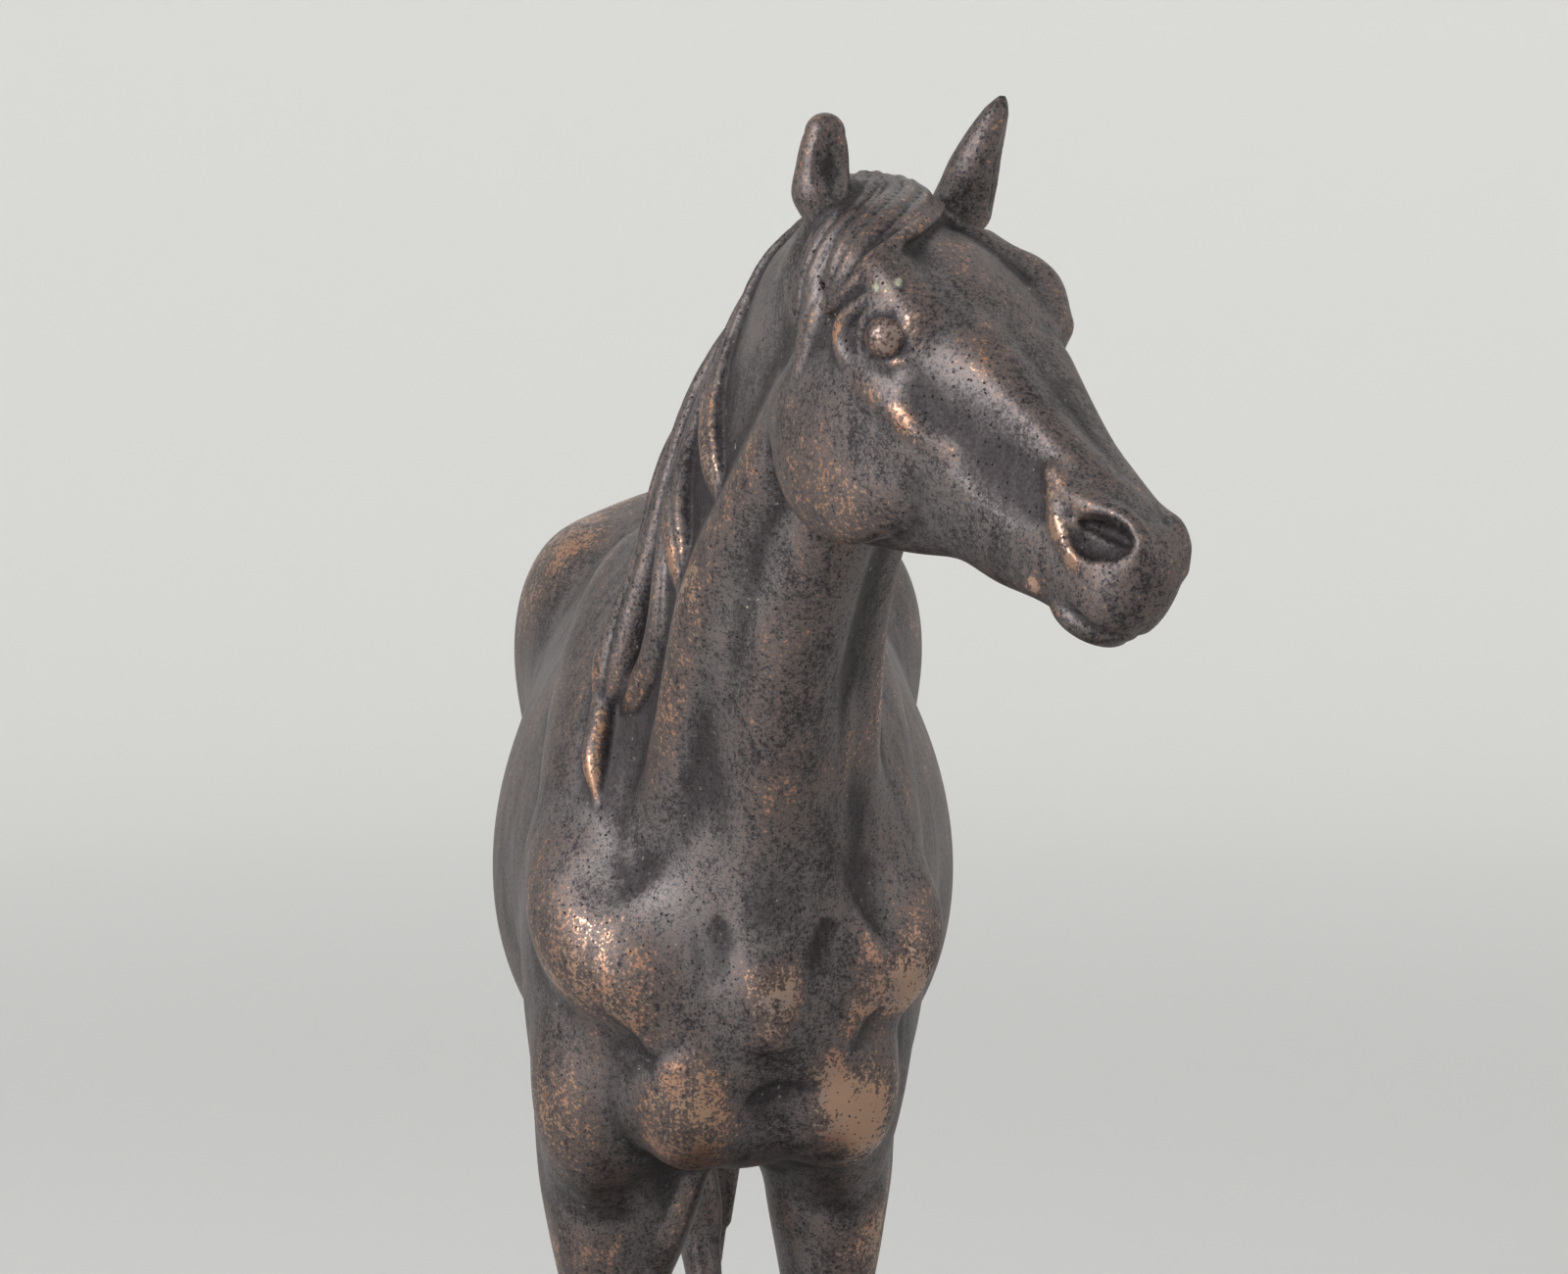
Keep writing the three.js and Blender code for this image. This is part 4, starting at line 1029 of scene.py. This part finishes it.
def relief(mesh):
    """How proud or sunk each point is against its surroundings, near and wide, in millimetres."""
    points = read_points(mesh)
    normals = read_normals(mesh)
    edges = np.empty(len(mesh.edges) * 2, np.int32)
    mesh.edges.foreach_get("vertices", edges)
    edges = edges.reshape(-1, 2)
    counts = np.bincount(edges.ravel(), minlength=len(points))[:, None].clip(1)
    smooth = points.copy()
    out = []
    for rounds in SMOOTH_ROUNDS:
        for _ in range(rounds):
            smooth = KEPT * smooth + (1 - KEPT) * neighbour_mean(smooth, edges, counts)
        out.append(((points - smooth) * normals).sum(1))
    return out


def set_attribute(mesh, name, values):
    layer = mesh.attributes.new(name, "FLOAT", "POINT")
    layer.data.foreach_set("value", np.clip(values, 0, 1).astype(np.float32))


# Where handling has rubbed the oxide off: [ahead, left, up, radius, strength]
RUBBED = [
    # points of the shoulders, the knob and the breast muscles
    [93, -16, 130, 8, 0.5],
    [98, -6, 130, 6, 0.3],
    [94, -21, 138, 6, 0.35],
    [89, -26, 133, 4.5, 0.6],
    [103, 7, 135, 3.6, 0.8],
    [104, 5.5, 130, 3, 0.7],
    [94, 25, 134, 5, 0.85],
    [95, 20, 131, 4.5, 0.75],
    [96, 18, 142, 4, 0.4],
    [95, 13.5, 122, 4, 0.9],
    [93, 17.5, 117, 5, 0.85],
    [91, 19.5, 112, 4, 0.75],
    [95, -4, 119, 6.5, 0.36],
    [92, -5, 112, 5, 0.5],
    [80, -24, 117, 7, 0.3],
    # neck and its foot
    [99, 16, 165, 5, 0.45],
    [97, 18, 178, 5, 0.45],
    [97, 19, 152, 6, 0.55],
    [103, 3, 158, 9, 0.3],
    [101, -4, 172, 9, 0.3],
    # head: cheek, cheek bone, eye, lids, brow
    [138, 13, 203, 12, 0.12],
    [142.5, 15, 213.6, 2.2, 0.4],
    [146, 20, 210.4, 2, 0.45],
    [149.6, 25.5, 206.8, 2.4, 0.3],
    [146.5, 18.6, 220, 2.6, 0.85],
    [138, 12, 222, 1.8, 0.6],
    [141, 15, 228, 2.6, 0.4],
    [137.4, 19.9, 231.8, 3, 0.45],
    # nostril and the corner of the mouth
    [159.3, 35.9, 202.6, 1.8, 0.6],
    [161.8, 36.2, 198.2, 1.8, 0.8],
    [164.3, 37.1, 195, 1.6, 0.7],
    [158.9, 34.3, 191.4, 1.8, 0.6],
    # mane
    [112, -1.5, 207, 7, 0.5],
    [106, -5, 190, 4.5, 0.6],
    [88, -10.9, 174.5, 4.5, 0.45],
    [85.8, -13.5, 169.1, 3.5, 0.6],
    [79, -18, 175, 4, 0.4],
    [84.9, -18.2, 161.8, 2.6, 0.5],
    # trunk and rump
    [-45, -20, 190, 16, 0.5],
    [-60, 16, 192, 16, 0.35],
    [-70, -24, 176, 10, 0.4],
    [20, 0, 191, 20, 0.25],
    # forearms, knees and hocks
    [67, 20, 96, 6, 0.5],
    [72, -16, 96, 7, 0.3],
    [62, -16, 66, 6, 0.4],
    [60, 15, 66, 6, 0.4],
    [-90, 14, 82, 8, 0.4],
    [-80, 0, 82, 8, 0.4],
]


# Pale green crust left in the lee of the forelock: the same columns
CRUSTED = [
    [143.6, 14.6, 225.6, 1, 0.9],
    [144.8, 16, 225.8, 1, 1],
    [146.2, 17.6, 225.9, 1, 1],
    [146, 19, 226.8, 1, 0.9],
    [145.5, 20.2, 228, 1, 0.7],
    [142, 19.6, 231, 1, 0.5],
]
# How fast a spot fades outwards
SPOT_FADE = 0.7


def spots(points, table):
    """How strongly each point is marked by the spots of a table, 0 to 1."""
    marked = np.zeros(len(points))
    for ahead, left, up, radius, strength in table:
        far = np.linalg.norm(points - place(ahead, left, up), axis=1) / radius
        marked = np.maximum(marked, strength * np.exp(-SPOT_FADE * far**2))
    return marked


# Shares of the near and the wide relief in the wear: what is proud is rubbed, and what is sunk is
# dark, partly for the oxide that gathers there and partly as painted shade in the hollows
PROUD_SHARES = (6, 1.2)
SUNK_SHARES = (6, 1.5)

form = Form(horse_steps())
horse = remeshed(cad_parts["horse"], "horse_skin")
settle_along_normals(form, horse.data)
thinner = horse.modifiers.new("thinner", "DECIMATE")
thinner.ratio = min(1.0, SKIN_TRIANGLES / sum(len(p.vertices) - 2 for p in horse.data.polygons))
bake(horse)
horse_points = settle_down_slope(form, horse.data)
horse.data.shade_smooth()
near_relief, wide_relief = relief(horse.data)
set_attribute(horse.data, "proud", near_relief * PROUD_SHARES[0] + wide_relief * PROUD_SHARES[1])
# How sunk each point is: the metal is painted darker there, partly for oxide and partly as painted shade
set_attribute(horse.data, "sunk", -near_relief * SUNK_SHARES[0] - wide_relief * SUNK_SHARES[1])
set_attribute(horse.data, "worn", spots(horse_points, RUBBED))
set_attribute(horse.data, "crusted", spots(horse_points, CRUSTED))

# The metal's look: an oxide of changing depth, worn through in flakes, with cast pits, and darker in
# its hollows, partly for the oxide and partly as painted shade. It is one node group, and each piece
# brings its own wear and relief as attributes.


def add(tree, kind, sockets=None, **settings):
    node = tree.nodes.new(kind)
    for name, value in settings.items():
        setattr(node, name, value)
    for key, value in (sockets or {}).items():
        if isinstance(value, bpy.types.NodeSocket):
            tree.links.new(value, node.inputs[key])
        else:
            node.inputs[key].default_value = value
    return node


def calc(tree, operation, a, b=0.0):
    return add(tree, "ShaderNodeMath", {0: a, 1: b}, operation=operation).outputs[0]


def total(tree, *terms):
    """Adds up terms, each a socket or a pair of a socket and its share."""
    result = 0.0
    for term in terms:
        value, share = term if isinstance(term, tuple) else (term, 1.0)
        node = add(tree, "ShaderNodeMath", {0: value, 1: share, 2: result}, operation="MULTIPLY_ADD")
        result = node.outputs[0]
    return result


def step_up(tree, value, low, high):
    node = add(tree, "ShaderNodeMapRange", {"Value": value, "From Min": low, "From Max": high})
    node.interpolation_type = "SMOOTHSTEP"
    return node.outputs["Result"]


def colour_mix(tree, share, a, b):
    node = add(tree, "ShaderNodeMix", data_type="RGBA", clamp_factor=True)
    for index, value in ((0, share), (6, a), (7, b)):
        if isinstance(value, bpy.types.NodeSocket):
            tree.links.new(value, node.inputs[index])
        else:
            node.inputs[index].default_value = value
    return node.outputs[2]


def noise(tree, vector, size, detail, rough=0.5, warp=0.0):
    """Noise with features of about size millimetres."""
    sockets = {"Vector": vector, "Scale": 1 / (size * MM), "Detail": detail, "Roughness": rough}
    sockets["Distortion"] = warp
    return add(tree, "ShaderNodeTexNoise", sockets).outputs["Fac"]


# Colours of the oxide, from deep to thin, of the metal where it is laid bare, and of the crust; the
# deep oxide's colour also paints the shade in the hollows
DARK = (0.038, 0.032, 0.035, 1)
GREY = (0.205, 0.187, 0.187, 1)
BROWN = (0.160, 0.112, 0.094, 1)
PEWTER = (0.285, 0.222, 0.192, 1)
TAN = (0.375, 0.245, 0.172, 1)
COPPER = (0.400, 0.195, 0.120, 1)
VERDIGRIS = (0.34, 0.35, 0.26, 1)
# What each piece brings: its relief, wear and crust; the sunk relief also drives painted shade
WEAR = ("Proud", "Sunk", "Worn", "Crusted")
# Sizes of the marks in the oxide, in millimetres, and how far some are drawn out upright
PATCH = 14
BLOTCH = 3.4
FLAKE = 0.9
SPECK = 0.42
GRAIN = 0.22
DRAWN_OUT = (1, 1, 0.4)
# Wear at which the oxide is thin, the metal is bare, and it has been bare for long
THIN = (0.1, 0.8)
BARE = (0.74, 0.88)
DEEP = (0.90, 1.20)
# How much speckle takes the oxide from dark to grey
OXIDE = (1.5, 2.2)
# The cast pits: their spacing in millimetres, how crowded they are and how far each reaches
PIT_SPACING = 0.8
PIT_CROWD = (0.56, 0.64)
PIT_REACH = (0.24, 0.38)
ROUGH = 0.35
METALLIC = 0.94


def aged_metal():
    tree = bpy.data.node_groups.new("aged_metal", "ShaderNodeTree")
    for name in WEAR:
        tree.interface.new_socket(name, in_out="INPUT", socket_type="NodeSocketFloat")
    tree.interface.new_socket("Color", in_out="OUTPUT", socket_type="NodeSocketColor")
    for name in ("Roughness", "Metallic", "Height"):
        tree.interface.new_socket(name, in_out="OUTPUT", socket_type="NodeSocketFloat")
    given = add(tree, "NodeGroupInput").outputs
    at = add(tree, "ShaderNodeTexCoord").outputs["Object"]
    # The oxide ran down the casting, so some of its marks are drawn out upright
    drawn = add(tree, "ShaderNodeMapping", {"Vector": at, "Scale": DRAWN_OUT}).outputs["Vector"]
    patches = noise(tree, at, PATCH, 2)
    blotches = noise(tree, drawn, BLOTCH, 4, 0.62, 0.4)
    flakes = noise(tree, at, FLAKE, 3, 0.65)
    specks = noise(tree, at, SPECK, 2, 0.6)
    grain = noise(tree, at, GRAIN, 2, 0.6)
    wear = total(
        tree,
        (given["Worn"], 1.0),
        (given["Proud"], 0.38),
        (given["Sunk"], -0.6),
        (calc(tree, "SUBTRACT", patches, 0.5), 0.8),
        (calc(tree, "SUBTRACT", blotches, 0.5), 1.2),
        (calc(tree, "SUBTRACT", flakes, 0.5), 1.5),
        (calc(tree, "SUBTRACT", specks, 0.5), 1.6),
    )
    bare = step_up(tree, wear, *BARE)
    deep = step_up(tree, wear, *DEEP)
    thin = step_up(tree, wear, *THIN)
    # Pits of the casting: small round dots, thicker in some places than in others
    spacing = 1 / (PIT_SPACING * MM)
    cells = add(tree, "ShaderNodeTexVoronoi", {"Vector": at, "Scale": spacing}, feature="F1")
    chance = add(tree, "ShaderNodeSeparateColor", {"Color": cells.outputs["Color"]}).outputs[0]
    crowd = total(
        tree,
        chance,
        (calc(tree, "SUBTRACT", blotches, 0.5), 1.2),
        (calc(tree, "SUBTRACT", patches, 0.5), 0.8),
        (bare, 0.12),
    )
    some = step_up(tree, crowd, *PIT_CROWD)
    reach = calc(tree, "ADD", cells.outputs["Distance"], calc(tree, "MULTIPLY", grain, 0.25))
    dot = calc(tree, "SUBTRACT", 1.0, step_up(tree, reach, *PIT_REACH))
    pit = calc(tree, "MULTIPLY", some, dot)
    # Colour, from the deepest oxide up to bare metal, which is redder where it is just laid bare
    speckle = total(tree, (patches, 0.5), (blotches, 0.7), (flakes, 0.8), (specks, 0.8), (grain, 0.9))
    base = colour_mix(tree, step_up(tree, speckle, *OXIDE), DARK, GREY)
    base = colour_mix(tree, calc(tree, "MULTIPLY", thin, 0.75), base, BROWN)
    # Sunk hollows are painted darker: partly the deeper oxide there, partly painted shade
    base = colour_mix(tree, calc(tree, "MULTIPLY", given["Sunk"], 0.7), base, DARK)
    metal_bare = colour_mix(tree, step_up(tree, patches, 0.42, 0.6), PEWTER, TAN)
    red = calc(tree, "MULTIPLY", total(tree, (deep, -0.6), 0.7), step_up(tree, blotches, 0.46, 0.6))
    metal_bare = colour_mix(tree, red, metal_bare, COPPER)
    base = colour_mix(tree, bare, base, metal_bare)
    base = colour_mix(tree, calc(tree, "MULTIPLY", pit, 0.85), base, DARK)
    hollow = total(tree, blotches, (given["Sunk"], 0.3))
    crust = calc(tree, "MULTIPLY", step_up(tree, flakes, 0.66, 0.74), step_up(tree, hollow, 0.62, 0.72))
    lee = total(tree, given["Crusted"], (flakes, 0.8))
    crust = calc(tree, "MAXIMUM", crust, step_up(tree, lee, 0.8, 1.1))
    base = colour_mix(tree, crust, base, VERDIGRIS)
    roughness = total(
        tree,
        (flakes, 0.2),
        (grain, 0.16),
        (bare, -0.17),
        (pit, 0.25),
        (given["Sunk"], 0.15),
        (crust, 0.3),
    )
    roughness = calc(tree, "ADD", roughness, ROUGH)
    metallic = calc(tree, "SUBTRACT", METALLIC, calc(tree, "MULTIPLY", crust, 0.8))
    # The height is in millimetres
    height = total(
        tree,
        (grain, 0.018),
        (specks, 0.012),
        (flakes, 0.03),
        (blotches, 0.05),
        (bare, -0.008),
        (pit, -0.07),
    )
    outputs = {"Color": base, "Roughness": roughness, "Metallic": metallic, "Height": height}
    add(tree, "NodeGroupOutput", outputs)
    return tree


AGED_METAL = aged_metal()


def metal(name):
    material = bpy.data.materials.new(name)
    material.use_nodes = True
    tree = material.node_tree
    tree.nodes.clear()
    look = add(tree, "ShaderNodeGroup", node_tree=AGED_METAL)
    for key in WEAR:
        mark = add(tree, "ShaderNodeAttribute", attribute_name=key.lower())
        tree.links.new(mark.outputs["Fac"], look.inputs[key])
    relief_sockets = {"Strength": 1.0, "Distance": MM, "Height": look.outputs["Height"]}
    bump = add(tree, "ShaderNodeBump", relief_sockets)
    sockets = {key: look.outputs[key] for key in ("Roughness", "Metallic")}
    sockets["Base Color"] = look.outputs["Color"]
    sockets["Normal"] = bump.outputs["Normal"]
    shader = add(tree, "ShaderNodeBsdfPrincipled", sockets)
    add(tree, "ShaderNodeOutputMaterial", {"Surface": shader.outputs["BSDF"]})
    return material


horse.data.materials.clear()
horse.data.materials.append(metal("aged_horse"))
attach(horse, "root")
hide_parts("horse")

# Plinth: the low slab that the horse stands on, hollow underneath, cast in the same alloy and
# bronzed with it. Its corners and edges are rounded, and the hooves are brazed to its top.

PLINTH_LENGTH = 236
PLINTH_WIDTH = 92
PLINTH_HEIGHT = 12
PLINTH_CORNER = 20
PLINTH_EDGE = 2
LEAST_CORNER = 0.5
# Steps round a corner, over an edge and up the side, and the rings on the two flat faces
CORNER_STEPS = 14
EDGE_STEPS = 6
SIDE_STEPS = 5
UNDERSIDE_INSETS = (34, 16, 5, 2.5)
TOP_INSETS = (2.5, 5, 10, 16, 24, 34)
# How far the edges and the flat faces are rubbed
EDGE_WEAR = 0.75
FACE_WEAR = 0.12


def plinth_ring(inset, height):
    x = PLINTH_WIDTH / 2 - inset
    y = PLINTH_LENGTH / 2 - inset
    r = max(PLINTH_CORNER - inset, LEAST_CORNER)
    ring = []
    for corner, (sx, sy) in enumerate(((1, 1), (-1, 1), (-1, -1), (1, -1))):
        for n in range(CORNER_STEPS + 1):
            angle = math.pi / 2 * (corner + n / CORNER_STEPS)
            ring.append((sx * (x - r) + r * math.cos(angle), sy * (y - r) + r * math.sin(angle), height))
    return ring


def make_plinth():
    e, h = PLINTH_EDGE, PLINTH_HEIGHT
    turns = [math.pi / 2 * n / EDGE_STEPS for n in range(EDGE_STEPS + 1)]
    profile = [(inset, 0) for inset in UNDERSIDE_INSETS]
    profile += [(e - e * math.sin(a), e - e * math.cos(a)) for a in turns]
    profile += [(0, e + (h - 2 * e) * n / SIDE_STEPS) for n in range(1, SIDE_STEPS)]
    profile += [(e - e * math.cos(a), h - e + e * math.sin(a)) for a in turns]
    profile += [(inset, h) for inset in TOP_INSETS]
    rings = [plinth_ring(inset, height) for inset, height in profile]
    bm = bmesh.new()
    rows = [[bm.verts.new(np.array(p) * MM) for p in ring] for ring in rings]
    for low, high in zip(rows, rows[1:]):
        for n in range(len(low)):
            m = (n + 1) % len(low)
            bm.faces.new((low[n], low[m], high[m], high[n]))
    bm.faces.new(rows[0][::-1])
    bm.faces.new(rows[-1])
    mesh = bpy.data.meshes.new("plinth_slab")
    bm.to_mesh(mesh)
    bm.free()
    mesh.shade_smooth()
    rubbed = []
    for inset, height in profile:
        turning = min(height, h - height) < e and inset < e
        rubbed.append(EDGE_WEAR if turning else FACE_WEAR)
    set_attribute(mesh, "proud", np.repeat(rubbed, len(rings[0])))
    for name in ("sunk", "worn", "crusted"):
        set_attribute(mesh, name, np.zeros(len(mesh.vertices)))
    piece = bpy.data.objects.new("plinth_slab", mesh)
    bpy.context.collection.objects.link(piece)
    return piece


plinth = make_plinth()
plinth.data.materials.append(metal("aged_plinth"))
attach(plinth, "root")
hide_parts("plinth")

# Floor: a sheet of pale matt paper that the sculpture stands on. It lies flat around the plinth
# and curves up into a wall all round, so that no edge shows behind it.

FLOOR_RINGS = (0.0, 0.4, 0.8, 1.2)
FLOOR_RADIUS = 1.6
WALL_CURVE = 0.9
WALL_HEIGHT = 1.6
CURVE_STEPS = 12
FLOOR_SEGMENTS = 64
# The paper is painted darker where it lies flat near the sculpture than where it rises: painted shade
# that tones down the lamps' light on the floor around the plinth
PAPER_SHADED_FLAT = (0.60, 0.60, 0.594, 1)
PAPER_RISING = (0.84, 0.84, 0.83, 1)
PAPER_BLEND = (0.5, 1.7)
PAPER_ROUGHNESS = 0.9


def make_floor():
    profile = [(ring, 0.0) for ring in FLOOR_RINGS]
    for n in range(CURVE_STEPS + 1):
        angle = math.pi / 2 * n / CURVE_STEPS
        profile.append((FLOOR_RADIUS + WALL_CURVE * math.sin(angle), WALL_CURVE * (1 - math.cos(angle))))
    profile.append((FLOOR_RADIUS + WALL_CURVE, WALL_HEIGHT))
    bm = bmesh.new()
    verts = [bm.verts.new((r, 0, z)) for r, z in profile]
    edges = [bm.edges.new(pair) for pair in zip(verts, verts[1:])]
    bmesh.ops.spin(
        bm,
        geom=verts + edges,
        cent=(0, 0, 0),
        axis=(0, 0, 1),
        angle=2 * math.pi,
        steps=FLOOR_SEGMENTS,
        use_merge=True,
    )
    bmesh.ops.remove_doubles(bm, verts=bm.verts, dist=1e-5)
    bmesh.ops.recalc_face_normals(bm, faces=bm.faces)
    mesh = bpy.data.meshes.new("floor")
    bm.to_mesh(mesh)
    bm.free()
    mesh.shade_smooth()
    floor = bpy.data.objects.new("floor", mesh)
    bpy.context.collection.objects.link(floor)
    material = bpy.data.materials.new("paper")
    material.use_nodes = True
    tree = material.node_tree
    shader = tree.nodes["Principled BSDF"]
    shader.inputs["Roughness"].default_value = PAPER_ROUGHNESS
    at = add(tree, "ShaderNodeTexCoord").outputs["Object"]
    away = add(tree, "ShaderNodeVectorMath", {0: at}, operation="LENGTH").outputs["Value"]
    # Painted shade: the paper is darker near the sculpture, where the lamps light it most, than farther
    # out
    colour = colour_mix(tree, step_up(tree, away, *PAPER_BLEND), PAPER_SHADED_FLAT, PAPER_RISING)
    tree.links.new(colour, shader.inputs["Base Color"])
    mesh.materials.append(material)
    return floor


make_floor()

# Lights: soft panels round the sculpture, the strongest from the upper left, in a bright room.
# A tall narrow one beside it draws the long highlights on the neck and the legs.

LIGHT_AIM = Vector((0, -0.05, 0.14))
ROOM_COLOUR = (1.0, 1.0, 0.985, 1)
ROOM_STRENGTH = 1.3
# The room is brighter around the object than overhead
OVERHEAD_LOSS = 0.6
OVERHEAD = (0.1, 0.9)


def soft_light(name, position, size, power):
    data = bpy.data.lights.new(name, "AREA")
    data.shape = "RECTANGLE"
    data.size, data.size_y = size
    data.energy = power
    light = bpy.data.objects.new(name, data)
    light.location = position
    aim = LIGHT_AIM - Vector(position)
    light.rotation_euler = aim.to_track_quat("-Z", "Y").to_euler()
    light.visible_camera = False
    bpy.context.collection.objects.link(light)


soft_light("key", (-0.85, -0.6, 0.58), (0.24, 0.24), 6)
soft_light("window", (-0.75, -0.75, 0.24), (0.1, 0.6), 2.5)
soft_light("fill", (0.95, -0.35, 0.5), (0.4, 0.6), 1)
soft_light("top", (0.1, 0.6, 1.0), (0.5, 0.3), 0.7)

world = bpy.data.worlds.new("room")
world.use_nodes = True
tree = world.node_tree
background = tree.nodes["Background"]
background.inputs["Color"].default_value = ROOM_COLOUR
way = add(tree, "ShaderNodeTexCoord").outputs["Generated"]
upward = add(tree, "ShaderNodeSeparateXYZ", {"Vector": way}).outputs["Z"]
strength = total(tree, (step_up(tree, upward, *OVERHEAD), -OVERHEAD_LOSS), ROOM_STRENGTH)
tree.links.new(strength, background.inputs["Strength"])
bpy.context.scene.world = world
bpy.context.scene.view_settings.view_transform = "Standard"

# Camera: level with the horse's head and close in front of it, tilted slightly down, with a
# short telephoto lens, so that the head looks large against the rump as it does close up.

CAMERA_AT = (-0.0062, -0.570, 0.227)
CAMERA_WAY = (0.0275, 0.997, -0.0692)

camera_data = bpy.data.cameras.new("camera")
camera_data.lens = 85
camera_data.sensor_width = 36
camera_data.sensor_fit = "HORIZONTAL"
camera_data.clip_start = 0.01
camera = bpy.data.objects.new("camera", camera_data)
camera.location = CAMERA_AT
camera.rotation_euler = Vector(CAMERA_WAY).to_track_quat("-Z", "Y").to_euler()
bpy.context.collection.objects.link(camera)
bpy.context.scene.camera = camera
